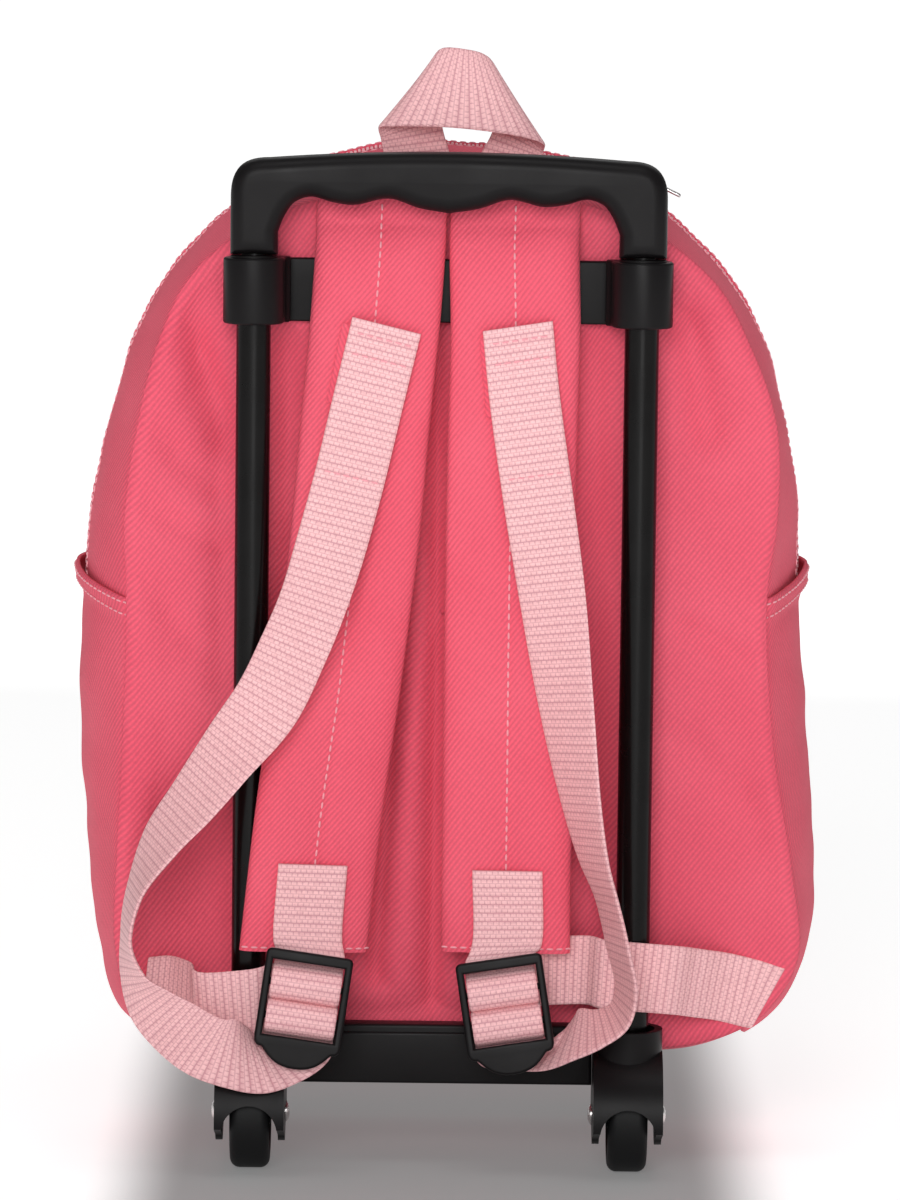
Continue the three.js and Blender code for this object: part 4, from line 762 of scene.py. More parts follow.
# The shoulder straps. Each is a strip of foam in a sleeve of bag cloth that laps down the middle, where a
# row of pale stitches holds it. The left one lies over the trolley's leg, and the right one hangs free.
TUBE_OUT = 14.2
STRAP_WIDTH = 45.5
STRAP_THICKNESS = 7
STRAP_ROWS = {
    # across, up, out, tilt, turn, thick
    "left": [
        (-0.175, 0.951, 0.032, 0, 0, 0.6),
        (-0.177, 0.921, 0.19, 0, 0, 0.76),
        (-0.18, 0.884, 0.336, 0, 0, 0.95),
        (-0.191, 0.815, 0.345, 0, 0, 1),
        (-0.214, 0.711, 0.458, 0, -1, 1),
        (-0.235, 0.605, 0.74, 0, -4, 1),
        (-0.268, 0.483, 1.04, 0, -9, 1),
        (-0.29, 0.41, 1.2, 0, -11, 1),
        (-0.325, 0.304, 1.22, 0, -11, 1),
        (-0.366, 0.144, 1.22, -2, -11, 0.8),
    ],
    "right": [
        (0.175, 0.951, 0.032, 0, 0, 0.6),
        (0.174, 0.921, 0.19, 0, 0, 0.76),
        (0.173, 0.884, 0.336, 0, 0, 0.95),
        (0.178, 0.815, 0.345, 0, 0, 1),
        (0.173, 0.666, 0.55, 0, 1, 1),
        (0.171, 0.514, 0.8, 0, 2, 1),
        (0.172, 0.331, 0.95, 0, 2, 1),
        (0.172, 0.144, 1.02, 0, 2, 0.8),
    ],
}
LAP_AT = {"left": 0.08, "right": 0.1}  # the lapped seam, as a share of the half width
FRONT_POINTS = 41
REAR_POINTS = 17
# The straps' copy of the bag cloth is painted a little paler than the bag's: painted light on the straps,
# which stand out towards the lamps. Its twill runs the other way.
strap_cloth = pack_cloth("coral_polyester_twill_strap", "#ee6075", "#e8566c", -38)


def worn_side(rows):
    """Places from shares: across of the half width, up of the bag's height and out of the legs' distance."""
    return np.column_stack(
        [rows[:, 0] * HALF_WIDTH, -rows[:, 2] * TUBE_OUT, BAG_BASE + rows[:, 1] * BAG_HEIGHT]
    )


def across_way(tilt, turn):
    """The direction across a band, tilted in the back panel's plane and turned about its length."""
    a, b = np.radians(tilt), np.radians(turn)
    return np.stack([np.cos(b) * np.cos(a), -np.sin(b), np.cos(b) * np.sin(a)], axis=-1)


def ringed(name, rings, material_here, round_too=True, sharp=60):
    """A closed form from rings of points, with its surface lengths as UVs."""
    rings = np.asarray(rings, float)
    rows, count = rings.shape[:2]
    around = np.linalg.norm(np.roll(rings, -1, axis=1) - rings, axis=2)
    u = np.concatenate([np.zeros((rows, 1)), np.cumsum(around, axis=1)], axis=1)
    v = np.concatenate([[0], np.cumsum(np.linalg.norm(np.diff(rings.mean(axis=1), axis=0), axis=1))])
    faces, corners = [], []
    for i in range(rows - 1):
        for j in range(count):
            k = (j + 1) % count
            faces.append((i * count + j, i * count + k, (i + 1) * count + k, (i + 1) * count + j))
            corners += [
                (u[i, j], v[i]),
                (u[i, j + 1], v[i]),
                (u[i + 1, j + 1], v[i + 1]),
                (u[i + 1, j], v[i + 1]),
            ]
    for end, face in ((0, range(count - 1, -1, -1)), (rows - 1, range(count))):
        faces.append(tuple(end * count + j for j in face))
        corners += [(u[end, j], v[end] + (j % 2) * 0.1) for j in face]
    mesh = bpy.data.meshes.new(name)
    mesh.from_pydata([place(*p) for p in rings.reshape(-1, 3)], [], faces)
    uv = mesh.uv_layers.new(name="UVMap")
    uv.data.foreach_set("uv", np.array(corners).ravel() * MM)
    form = bmesh.new()
    form.from_mesh(mesh)
    bmesh.ops.recalc_face_normals(form, faces=form.faces)
    form.to_mesh(mesh)
    form.free()
    mesh.polygons.foreach_set("use_smooth", [True] * len(mesh.polygons))
    mesh.set_sharp_from_angle(angle=math.radians(sharp))
    made = bpy.data.objects.new(name, mesh)
    bpy.context.scene.collection.objects.link(made)
    made.data.materials.append(material_here)
    return made


def fill_with_foam(pad, held, most):
    """Presses the cloth of a pad outwards from its foam, held at its seams, by at most that far."""
    seams = pad.vertex_groups.new(name="seams")
    seams.add([int(i) for i in held], 1.0, "REPLACE")
    before = np.array([v.co for v in pad.data.vertices])
    cloth = pad.modifiers.new("foam", "CLOTH")
    cloth.settings.vertex_group_mass = "seams"
    cloth.settings.quality = 5
    cloth.settings.mass = 0.3
    cloth.settings.tension_stiffness = 12
    cloth.settings.compression_stiffness = 12
    cloth.settings.bending_stiffness = 0.4
    cloth.settings.use_pressure = True
    cloth.settings.uniform_pressure_force = 4
    cloth.settings.effector_weights.gravity = 0
    cloth.collision_settings.use_collision = False
    for number in range(1, 21):
        bpy.context.scene.frame_set(number)
    blown = pad.evaluated_get(bpy.context.evaluated_depsgraph_get()).to_mesh()
    moved = np.array([v.co for v in blown.vertices]) - before
    pad.modifiers.remove(cloth)
    far = np.linalg.norm(moved, axis=1)
    keep = np.where(far > most * MM, most * MM / np.maximum(far, 1e-9), 1)
    pad.data.vertices.foreach_set("co", (before + moved * keep[:, None]).ravel())
    pad.data.update()
    bpy.context.scene.frame_set(1)


theta = np.linspace(-math.pi / 2, math.pi / 2, FRONT_POINTS)
front_u = np.sin(theta)
rear_u = np.sin(np.linspace(math.pi / 2, -math.pi / 2, REAR_POINTS))[1:-1]
strap_surface = {}
for name, rows in STRAP_ROWS.items():
    rows = np.array(rows, float)
    places = worn_side(spline(rows[:, :3], 18))
    tilt, turn_by, thick = spline(rows[:, 3:], 18).T
    across = across_way(tilt, turn_by)
    out = np.column_stack([across[:, 1], -across[:, 0], 0 * tilt])
    out /= np.linalg.norm(out, axis=1)[:, None]
    lap = LAP_AT[name]
    crown = np.sqrt(np.clip(1 - np.abs(front_u) ** 8, 0, 1))
    near_lap = (front_u - lap) * STRAP_WIDTH / 2
    soft = 0.36 + 0.64 * crown
    groove = -0.55 * np.exp(-((near_lap / 1.1) ** 2)) + 0.3 * smooth(near_lap / 0.8) * crown
    front = places[:, None] + across[:, None] * (front_u * STRAP_WIDTH / 2)[None, :, None]
    lift = soft[None, :] * thick[:, None] * STRAP_THICKNESS + groove[None, :]
    wrinkle = 0.35 * ripple(front * np.array([1, 1, 0.5]), 9, 4.4) + 0.4 * ripple(front, 24, 8.8)
    lift = lift + wrinkle * crown[None, :] - 0.2
    front = front + out[:, None] * lift[..., None]
    rear = places[:, None] + across[:, None] * (rear_u * STRAP_WIDTH / 2)[None, :, None]
    under = 0.36 * (1 - np.sqrt(np.clip(1 - np.abs(rear_u) ** 8, 0, 1)))
    rear = rear + out[:, None] * (under[None, :] * thick[:, None] * STRAP_THICKNESS)[..., None]
    rings = np.concatenate([front, rear], axis=1)
    strap = ringed(f"shoulder_strap_{name}_pad", rings, strap_cloth)
    count = rings.shape[1]
    ids = np.arange(rings.shape[0] * count).reshape(-1, count)
    held = set(ids[:, FRONT_POINTS:].ravel()) | set(ids[:4].ravel()) | set(ids[-4:].ravel())
    held |= set(ids[:, :FRONT_POINTS][:, (np.abs(front_u) > 0.93) | (np.abs(near_lap) < 1.6)].ravel())
    fill_with_foam(strap, sorted(held), 1.4)
    co = np.array([v.co for v in strap.data.vertices]).reshape(rings.shape) / MM - [0, BACK, 0]
    strap_surface[name] = (co, across, out)
    dress(strap, strap_cloth, "bag", "strap_cloth", f"shoulder_strap_{name}")
    seam_column = int(np.argmin(np.abs(near_lap + 1.5)))
    lines = [(co[6:-4, seam_column], out[6:-4])]
    end = (co[-1] * 0.5 + co[-2] * 0.5)[2 : FRONT_POINTS - 2]
    lines.append((end, np.repeat(out[-2][None, :], len(end), axis=0)))
    stitching(f"strap_stitching_{name}", lines, "strap_cloth")

# The webbing. All of it is one 25 mm polypropylene tape: the patches of bag cloth lie under its sewn
# upper ends, the long ends run down to the buckles, and the short ones tie the buckles to the bag.
WEBBING = 24.6
WEBBING_THICKNESS = 1.3
PATCH_THICKNESS = 0.9
PATCH_ROWS = {
    "left": [(-0.187, 0.806, 0.9, -13.5, 0), (-0.226, 0.722, 1.0, -13.5, 0)],
    "right": [(0.176, 0.806, 0.91, 9, 0), (0.194, 0.722, 1.05, 9, 0)],
}
ANCHOR_ROWS = {
    "left": [
        (-0.785, 0.088, 0.085, 84, 0),
        (-0.73, 0.093, 0.5, 85, 0),
        (-0.665, 0.093, 1.35, 88, 0),
        (-0.6, 0.086, 1.92, 96, 0),
        (-0.5, 0.09, 1.96, 94, 0),
        (-0.42, 0.096, 1.66, 90, 0),
        (-0.34, 0.095, 1.6, 90, 0),
    ],
    "right": [
        (0.875, 0.088, 0.085, -118, 0),
        (0.8, 0.096, 0.1, -102, 0),
        (0.68, 0.109, 0.75, -99, 0),
        (0.57, 0.119, 1.5, -97, 0),
        (0.46, 0.122, 1.51, -94, 0),
        (0.36, 0.123, 0.9, -92, 0),
        (0.26, 0.12, 0.86, -90, 0),
        (0.16, 0.11, 0.86, -88, 0),
    ],
}
LONG_ROWS = {
    "left": [
        (-0.16, 0.813, 1.01, -13.5, 0),
        (-0.203, 0.739, 1.13, -13.5, 0),
        (-0.265, 0.632, 1.52, -13.5, -3),
        (-0.341, 0.526, 2.0, -16, 16),
        (-0.396, 0.471, 2.2, -21, 14),
        (-0.462, 0.416, 2.4, -28, 12),
        (-0.568, 0.359, 2.45, -36, 33),
        (-0.656, 0.31, 2.4, -36.5, 46),
        (-0.737, 0.267, 2.25, -35, 58),
        (-0.803, 0.214, 2.05, -24, 76),
        (-0.828, 0.162, 1.9, -4, 80),
        (-0.81, 0.118, 1.85, 22, 66),
        (-0.762, 0.088, 2.0, 42, 40),
        (-0.695, 0.067, 2.3, 50, 22),
        (-0.62, 0.051, 2.75, 56, 12),
        (-0.55, 0.044, 2.86, 80, 0),
        (-0.485, 0.035, 2.55, 106, -10),
        (-0.43, 0.036, 2.25, 136, -12),
    ],
    "right": [
        (0.183, 0.814, 1.0, 9, 0),
        (0.203, 0.739, 1.14, 9, 0),
        (0.241, 0.635, 1.4, 9, 6),
        (0.282, 0.529, 1.76, 9, 20),
        (0.319, 0.422, 2.06, 8, 38),
        (0.362, 0.316, 2.26, 10, 56),
        (0.399, 0.251, 2.32, 13, 66),
        (0.436, 0.208, 2.36, 14, 72),
        (0.467, 0.157, 2.42, 8, 72),
        (0.489, 0.114, 2.44, -4, 74),
        (0.472, 0.086, 2.46, -40, 74),
        (0.42, 0.072, 2.44, -78, 68),
        (0.36, 0.062, 2.1, -104, 50),
        (0.295, 0.046, 1.6, -132, 8),
    ],
}
BUCKLE_AT = {
    # across, up, out, tilt, pitch
    "left": (-0.341, 0.147, 2.1, -8, 10),
    "right": (0.152, 0.141, 1.76, 9, 9),
}
TAB_ROWS = {
    "left": [(-0.338, 0.24, 1.79, -3, -11), (-0.35, 0.16, 1.79, -4, -11)],
    "right": [(0.174, 0.234, 1.54, 0, 2), (0.174, 0.152, 1.5, 2, 2)],
}
BUCKLE_BAR = 2.4
BUCKLE_TOP_BAR = 3.8
BUCKLE_DEPTH = 4.2
FIRST_BAR_AT = 11.6
SECOND_BAR_AT = 23.4
BUCKLE_PLATE_AT = 30.2
BAND_OFF = BUCKLE_BAR / 2 + SEAM_GAP + WEBBING_THICKNESS / 2
BEHIND = BUCKLE_DEPTH / 2 + 1.5 * SEAM_GAP + WEBBING_THICKNESS / 2
ROUND_BAR = [(-2.6, -0.8), (-2.5, 0.2), (-1.7, 1.4), (0, 1.9), (1.7, 1.4), (2.4, 0.1)]


def tape_material(name, lit, deep, rib_mm, yarn_mm):
    """Woven polypropylene tape: rows of short glossy floats, each row set half a float from the last."""
    made, tree, out = material(name)
    where = add(tree, "UVMap", uv_map="UVMap").outputs[0]
    cloth = add(tree, "Mapping", {"Vector": where, "Scale": (1000, 1000, 1)}).outputs[0]
    floats = add(
        tree,
        "TexBrick",
        {
            "Vector": cloth,
            "Color1": (1, 1, 1, 1),
            "Color2": (0.72, 0.72, 0.72, 1),
            "Mortar": (0.1, 0.1, 0.1, 1),
            "Scale": 1.0,
            "Mortar Size": 0.34,
            "Mortar Smooth": 1.0,
            "Brick Width": yarn_mm,
            "Row Height": rib_mm / 2,
        },
        offset=0.5,
        offset_frequency=2,
    ).outputs["Color"]
    ribs = add(
        tree,
        "TexWave",
        {"Vector": cloth, "Scale": WAVE_LENGTH / rib_mm, "Distortion": 0.8},
        bands_direction="Y",
    ).outputs["Fac"]
    # A painted glint: a noise that makes some floats paler, as highlights. It also raises them in the bump.
    glint = add(
        tree, "TexNoise", {"Vector": cloth, "Scale": 0.9, "Detail": 3.0, "Roughness": 0.8}
    ).outputs["Fac"]
    dots = add(tree, "Math", {0: floats, 1: glint}, operation="MULTIPLY").outputs[0]
    height = add(tree, "Math", {0: ribs, 1: 0.26, 2: dots}, operation="MULTIPLY_ADD").outputs[0]
    # The colour follows the weave's height: painted highlight on the raised floats, painted shade in the
    # gaps between them.
    ramp = add(tree, "ValToRGB", {"Fac": height})
    ramp.color_ramp.elements[0].position = 0.12
    ramp.color_ramp.elements[0].color = linear(deep)
    ramp.color_ramp.elements[1].position = 0.66
    ramp.color_ramp.elements[1].color = linear(lit)
    bump = add(tree, "Bump", {"Height": height, "Strength": 0.6, "Distance": 0.0004}).outputs[0]
    surface = add(
        tree,
        "BsdfPrincipled",
        {
            "Base Color": ramp.outputs[0],
            "Roughness": 0.5,
            "IOR": 1.49,
            "Specular IOR Level": 0.4,
            "Normal": bump,
        },
    )
    tree.links.new(surface.outputs[0], out.inputs["Surface"])
    return made


# The paler colour is the painted highlight on the floats, the darker one the painted shade between them.
tape = tape_material("pale_pink_polypropylene_tape", "#fbc6c8", "#d3949b", 3.0, 2.0)
# Share of the half width and of the half thickness round the tape's edge, whose selvedge is rounded.
TAPE_SECTION = [(-1, 0.0), (-0.975, 0.72), (-0.93, 1.0)]
TAPE_SECTION += [(a, 1.0) for a in np.linspace(-0.8, 0.8, 9)] + [(0.93, 1.0), (0.975, 0.72), (1, 0.0)]
TAPE_SECTION += [(a, -b) for a, b in TAPE_SECTION[-2:0:-1]]
TAPE_SECTION = np.array(TAPE_SECTION)


def band(name, centres, ways, look, thickness=WEBBING_THICKNESS, width=WEBBING):
    """A tape through a line of centres, each with its direction across."""
    run = np.empty_like(centres)
    run[1:-1] = centres[2:] - centres[:-2]
    run[0], run[-1] = centres[1] - centres[0], centres[-1] - centres[-2]
    face = np.cross(ways, run)
    face /= np.linalg.norm(face, axis=1)[:, None]
    rings = (
        centres[:, None]
        + ways[:, None] * (TAPE_SECTION[:, 0] * width / 2)[None, :, None]
        + face[:, None] * (TAPE_SECTION[:, 1] * thickness / 2)[None, :, None]
    )
    return ringed(name, rings, look), face


def sewn_band(name, rows, look, thickness=WEBBING_THICKNESS, steps=12):
    """A tape from rows of across, up, out, tilt and turn."""
    rows = np.array(rows, float)
    centres = worn_side(spline(rows[:, :3], steps))
    turns = spline(np.column_stack([rows[:, 3:], 0 * rows[:, 0]]), steps)
    ways = across_way(turns[:, 0], turns[:, 1])
    made, face = band(name, centres, ways, look, thickness)
    return made, centres, ways, face


def spot_band(name, spots, ways, look, steps=10):
    """A tape through given spots, its direction across turning smoothly from each to the next."""
    ways = spline(ways, steps)
    ways /= np.linalg.norm(ways, axis=1)[:, None]
    centres = spline(spots, steps)
    made, face = band(name, centres, ways, look)
    return made, centres, ways, face


def buckle_turn(name):
    across, up, out, tilt, pitch = BUCKLE_AT[name]
    lean = Matrix.Rotation(-math.radians(tilt), 3, "Y")
    turned_down = np.array(lean @ Matrix.Rotation(-math.radians(pitch), 3, "X"))
    return turned_down, worn_side(np.array([[across, up, out]]))[0]


def buckle_spot(name, down, out):
    """A point of a buckle, down from its top edge and out from its middle plane."""
    matrix, at = buckle_turn(name)
    return matrix @ np.array([0, -out, -down]) + at


def round_bar(name, bar_at):
    return [buckle_spot(name, bar_at + down * BAND_OFF, out * BAND_OFF) for down, out in ROUND_BAR]


for name in ("left", "right"):
    patch, *_ = sewn_band(f"strap_patch_{name}_cloth", PATCH_ROWS[name], strap_cloth, PATCH_THICKNESS)
    dress(patch, strap_cloth, "bag", "strap_cloth", f"strap_patch_{name}")
    anchor, *_ = sewn_band(f"anchor_webbing_{name}_tape", ANCHOR_ROWS[name], tape)
    dress(anchor, tape, "bag", "webbing", f"anchor_webbing_{name}")
    lean = across_way(BUCKLE_AT[name][3], 0)
    rows = np.array(TAB_ROWS[name], float)
    spots = list(worn_side(rows))
    spots += [buckle_spot(name, 1, -BEHIND), buckle_spot(name, BUCKLE_TOP_BAR + 0.5, -BEHIND)]
    spots += round_bar(name, FIRST_BAR_AT)[1:]
    spots += [
        buckle_spot(name, FIRST_BAR_AT + 1.9 * BAND_OFF, -BAND_OFF),
        buckle_spot(name, FIRST_BAR_AT - 2, -BEHIND - 1.2),
        buckle_spot(name, 3, -BEHIND - 2),
    ]
    ways = [across_way(r[3], r[4]) for r in rows] + [lean] * (len(spots) - 2)
    tab, *_ = spot_band(f"buckle_tab_{name}_tape", np.array(spots), np.array(ways), tape)
    dress(tab, tape, "bag", "webbing", f"buckle_tab_{name}")
    rows = np.array(LONG_ROWS[name], float)
    spots = list(worn_side(rows))
    spots += [
        buckle_spot(name, BUCKLE_PLATE_AT + 5, -BEHIND),
        buckle_spot(name, BUCKLE_PLATE_AT - 0.3, -BEHIND),
    ]
    spots += round_bar(name, SECOND_BAR_AT)[::-1]
    ways = [across_way(r[3], r[4]) for r in rows] + [-lean] * (len(spots) - len(rows))
    long_end, centres, ways, face = spot_band(
        f"adjusting_webbing_{name}_tape", np.array(spots), np.array(ways), tape
    )
    dress(long_end, tape, "bag", "webbing", f"adjusting_webbing_{name}")
    rise = -face * (WEBBING_THICKNESS / 2) * np.sign(face[:, 1:2])
    lines = []
    for i in (2, 5, 18):
        span = np.linspace(-0.8, 0.8, 9)[:, None]
        lines.append(
            (centres[i] + ways[i] * span * WEBBING / 2 + rise[i], np.repeat(rise[i][None, :], 9, axis=0))
        )
    stitching(f"webbing_stitching_{name}", lines, "webbing")

# The ladder buckles. Each is moulded in one piece of black acetal: a frame with two round bars, which the
# webbing goes round, and a thumb plate that tapers to a round end.
BUCKLE_WIDTH = 30.6
BUCKLE_RAIL = 2.6
BUCKLE_LENGTH = 41
black_plastic = moulded_material("black_moulded_abs", "#131112", 0.4, 0.5, 0.03, 0.14)


def bezier(*points, count=14):
    """Points along a curve, without its first."""
    points = [np.array(p, float) for p in points]
    line = []
    for t in np.linspace(0, 1, count + 1)[1:]:
        level_points = points
        while len(level_points) > 1:
            level_points = [a * (1 - t) + b * t for a, b in zip(level_points, level_points[1:])]
        line.append(tuple(level_points[0]))
    return line


def moulded(outlines, depth, rounding, matrix=None, segments=5):
    """Points and faces of a plate cut to the outlines and rounded at its edges, in millimetres."""
    plan = bpy.data.curves.new("plan", "CURVE")
    plan.dimensions = "2D"
    plan.fill_mode = "BOTH"
    plan.extrude = depth / 2 - rounding
    plan.bevel_depth = rounding
    plan.bevel_resolution = segments
    plan.offset = -rounding
    for outline_here in outlines:
        line = plan.splines.new("POLY")
        line.points.add(len(outline_here) - 1)
        for point, (x, y) in zip(line.points, outline_here):
            point.co = (x, y, 0, 1)
        line.use_cyclic_u = True
    holder = bpy.data.objects.new("plan", plan)
    bpy.context.scene.collection.objects.link(holder)
    bpy.context.view_layer.update()
    shape = holder.evaluated_get(bpy.context.evaluated_depsgraph_get()).to_mesh()
    verts = np.array([v.co for v in shape.vertices])
    faces = [tuple(p.vertices) for p in shape.polygons]
    bpy.data.objects.remove(holder)
    bpy.data.curves.remove(plan)
    if matrix is not None:
        matrix = np.array(matrix)
        verts = verts @ matrix[:3, :3].T + matrix[:3, 3]
    return verts, faces


def turned(profile, sides=64, matrix=None):
    """Points and faces of a turned form from its closed profile of radii and heights."""
    angles = np.linspace(0, 2 * math.pi, sides, endpoint=False)
    verts = np.array([(r * math.cos(a), r * math.sin(a), h) for r, h in profile for a in angles])
    rows = len(profile)
    faces = [
        (
            i * sides + j,
            i * sides + (j + 1) % sides,
            (i + 1) % rows * sides + (j + 1) % sides,
            (i + 1) % rows * sides + j,
        )
        for i in range(rows)
        for j in range(sides)
    ]
    if matrix is not None:
        matrix = np.array(matrix)
        verts = verts @ matrix[:3, :3].T + matrix[:3, 3]
    return verts, faces


def joined(parts):
    """Several sets of points and faces as one."""
    verts, faces, start = [], [], 0
    for part_verts, part_faces in parts:
        verts.append(part_verts)
        faces += [tuple(v + start for v in face) for face in part_faces]
        start += len(part_verts)
    return np.concatenate(verts), faces


def standing(x=0, y=0, z=0, way="XY"):
    """The place of a plan that lies in that plane: XY flat, XZ facing the wearer, YZ facing sideways."""
    turns = {
        "XY": Matrix(),
        "XZ": Matrix.Rotation(math.pi / 2, 4, "X"),
        "YZ": Matrix.Rotation(math.pi / 2, 4, "Y"),
    }
    return Matrix.Translation((x, y, z)) @ turns[way]


half = BUCKLE_WIDTH / 2
inner = half - BUCKLE_RAIL
frame_outline = [(-half + 2.2, 0), (half - 2.2, 0)]
frame_outline += bezier((half - 2.2, 0), (half, 0), (half, -2.2), count=5)
frame_outline += [(half, -BUCKLE_PLATE_AT - 0.6)]
frame_outline += bezier((half, -BUCKLE_PLATE_AT - 0.6), (half, -34.5), (half - 2.6, -34.6), count=6)
plate_side = (inner * 0.82, -36.5)
frame_outline += bezier(
    frame_outline[-1], (inner - 0.6, -34.2), plate_side, (inner * 0.66, -BUCKLE_LENGTH), (0, -BUCKLE_LENGTH)
)
frame_outline += [(-x, z) for x, z in frame_outline[-2:1:-1]]
opening = [
    (-inner, -BUCKLE_TOP_BAR),
    (-inner, -BUCKLE_PLATE_AT),
    (inner, -BUCKLE_PLATE_AT),
    (inner, -BUCKLE_TOP_BAR),
]
for name in ("left", "right"):
    parts = [moulded([frame_outline, opening], BUCKLE_DEPTH, 1.0, standing(way="XZ"))]
    for bar_at in (FIRST_BAR_AT, SECOND_BAR_AT):
        bar_profile = [
            (0.01, -inner - 0.6),
            (BUCKLE_BAR / 2, -inner - 0.6),
            (BUCKLE_BAR / 2, inner + 0.6),
            (0.01, inner + 0.6),
        ]
        parts.append(turned(bar_profile, 24, standing(0, 0, -bar_at, "YZ")))
    verts, faces = joined(parts)
    matrix, at = buckle_turn(name)
    made = mesh_piece(f"buckle_{name}_moulding", verts @ matrix.T + at, faces)
    dress(made, black_plastic, "bag", "black_plastic", f"buckle_{name}")

# The grab handle. It is a loop of the same polypropylene webbing, folded over at both ends and sewn into
# the top seam.
GRAB_SPREAD = 58
GRAB_RISE = 41
GRAB_AT = (0.03, 0.2)  # across and deep
GRAB_ROWS = [
    # low across, low up, low back, high across, high up, high back
    (-0.46, -0.03, -0.2, -0.06, 0.01, 0.1),
    (-0.49, 0.18, -0.25, -0.12, 0.3, 0.3),
    (-0.5, 0.27, -0.5, -0.16, 0.84, 0.2),
    (-0.4, 0.29, -0.85, -0.13, 0.95, -0.1),
    (0, 0.28, -1, 0.02, 0.95, -0.3),
    (0.4, 0.2, -0.8, 0.14, 0.9, -0.1),
    (0.5, 0.14, -0.4, 0.19, 0.78, 0.25),
    (0.5, 0.08, 0, 0.2, 0.3, 0.4),
    (0.47, -0.07, 0.05, 0.1, 0.0, 0.2),
]
foot = np.array([GRAB_AT[0] * HALF_WIDTH, GRAB_AT[1] * BAG_DEPTH, BAG_BASE + BAG_HEIGHT - BACK_TUCK * 0.36])
reach = np.array([GRAB_SPREAD, BAG_DEPTH * 0.11, GRAB_RISE])
rows = np.array(GRAB_ROWS)
low = spline(foot + rows[:, [0, 2, 1]] * reach, 12)
high = spline(foot + rows[:, [3, 5, 4]] * reach, 12)
middle = (low + high) / 2
run = np.gradient(low, axis=0)
face = np.cross(high - low, run)
face /= np.linalg.norm(face, axis=1)[:, None]
rings = (
    middle[:, None]
    + (high - low)[:, None] * (TAPE_SECTION[:, 0] / 2)[None, :, None]
    + face[:, None] * (TAPE_SECTION[:, 1] * WEBBING_THICKNESS / 2)[None, :, None]
)
grab = ringed("grab_handle_tape", rings, tape)
dress(grab, tape, "bag", "webbing", "grab_handle")

# The zip's slider. It is a nickel-plated zinc casting that runs on the closed coil, and a punched pull
# hangs on it.
plated = moulded_material("nickel_plated_zinc", "#c9c5c4", 0.25, 0.6, 0.005)
plated.node_tree.nodes["Principled BSDF"].inputs["Metallic"].default_value = 1.0
slider_number = number_at(1, 0.965)
spot = gusset_grid([slider_number], np.array([0.5]), under_strips)[0, 0]
out_x, out_z = outward[slider_number]
body_plan = [(-5.5, -3.2), (-4, -4.5), (4, -4.2), (5.5, -2.4), (5.5, 2.4), (4, 4.2), (-4, 4.5), (-5.5, 3.2)]
pull_plan = [(-26, -2.2), (-25, -3), (-6, -2.2), (-4, -1.4), (-4, 1.4), (-6, 2.2), (-25, 3), (-26, 2.2)]
pull_hole = [(-24, -1.4), (-24, 1.4), (-19, 1.2), (-19, -1.2)]
slider_verts, slider_faces = joined(
    [
        moulded([body_plan], 1.3, 0.5, Matrix.Translation((0, 0, 3.9))),
        moulded([body_plan], 1.0, 0.4, Matrix.Translation((0, 0, 1.6))),
        moulded([[(3, -1), (5, -1), (5, 1), (3, 1)]], 2.6, 0.3, Matrix.Translation((0, 0, 2.8))),
        moulded(
            [[(-3.4, -1.1), (2.2, -1.1), (2.2, 1.1), (-3.4, 1.1)]], 1.4, 0.5, Matrix.Translation((0, 0, 4.9))
        ),
        moulded([pull_plan, pull_hole], 1.2, 0.45, Matrix.Translation((0, 0, 5.2))),
    ]
)
along = np.array([-out_z, 0, out_x])
axes = np.array([along, [0, 1, 0], [out_x, 0, out_z]])
slider = mesh_piece("zip_slider_casting", slider_verts @ axes + spot + axes[2] * 0.2, slider_faces)
dress(slider, plated, "bag", "plated_metal", "zip_slider")

# The crossbars. Two moulded bars are riveted to the back panel and hold the trolley's legs. The upper
# one is thin and flat, and the lower one is a deep box between the wheel housings.
TUBE_SPACING = 135.2
OUTER_TUBE = 12
SLEEVE_END = 323
COLLAR_HEIGHT = 23
BAR_THICKNESS = 4
UPPER_BAR_HEIGHT = 22.2
LOWER_BAR_HEIGHT = 21
LOWER_BAR_THICKNESS = 10
LOWER_BAR_BOTTOM = 29.5
WHEEL_SPACING = 132.8
HOUSING_WIDTH = 24.4
collar_top = SLEEVE_END - 1.2
collar_bottom = collar_top - COLLAR_HEIGHT


def plate_of(x0, x1, y0, y1, z0, z1, rounding=0.8):
    """A bar with rounded edges between two corners."""
    plan = [(x0, z0), (x1, z0), (x1, z1), (x0, z1)]
    return moulded([plan], y1 - y0, rounding, standing(0, (y0 + y1) / 2, 0, "XZ"), 3)


bar_reach = TUBE_SPACING / 2 + OUTER_TUBE / 2
upper_parts = [
    plate_of(
        -bar_reach,
        bar_reach,
        -SEAM_GAP - BAR_THICKNESS,
        -SEAM_GAP,
        collar_bottom,
        collar_bottom + UPPER_BAR_HEIGHT,
    )
]
upper_bar = mesh_piece("upper_crossbar_moulding", *joined(upper_parts))
dress(upper_bar, black_plastic, "bag", "black_plastic", "upper_crossbar")
low_reach = (WHEEL_SPACING - HOUSING_WIDTH) / 2 - SEAM_GAP
bar_front = -SEAM_GAP - LOWER_BAR_THICKNESS
lower_parts = [
    plate_of(
        -low_reach,
        low_reach,
        bar_front + 1.0,
        -SEAM_GAP,
        LOWER_BAR_BOTTOM,
        LOWER_BAR_BOTTOM + LOWER_BAR_HEIGHT,
        1.2,
    ),
    plate_of(
        -low_reach,
        low_reach,
        bar_front,
        bar_front + 3,
        LOWER_BAR_BOTTOM,
        LOWER_BAR_BOTTOM + LOWER_BAR_HEIGHT - 2.6,
        1.1,
    ),
]
lower_bar = mesh_piece("lower_crossbar_moulding", *joined(lower_parts))
dress(lower_bar, black_plastic, "bag", "black_plastic", "lower_crossbar")

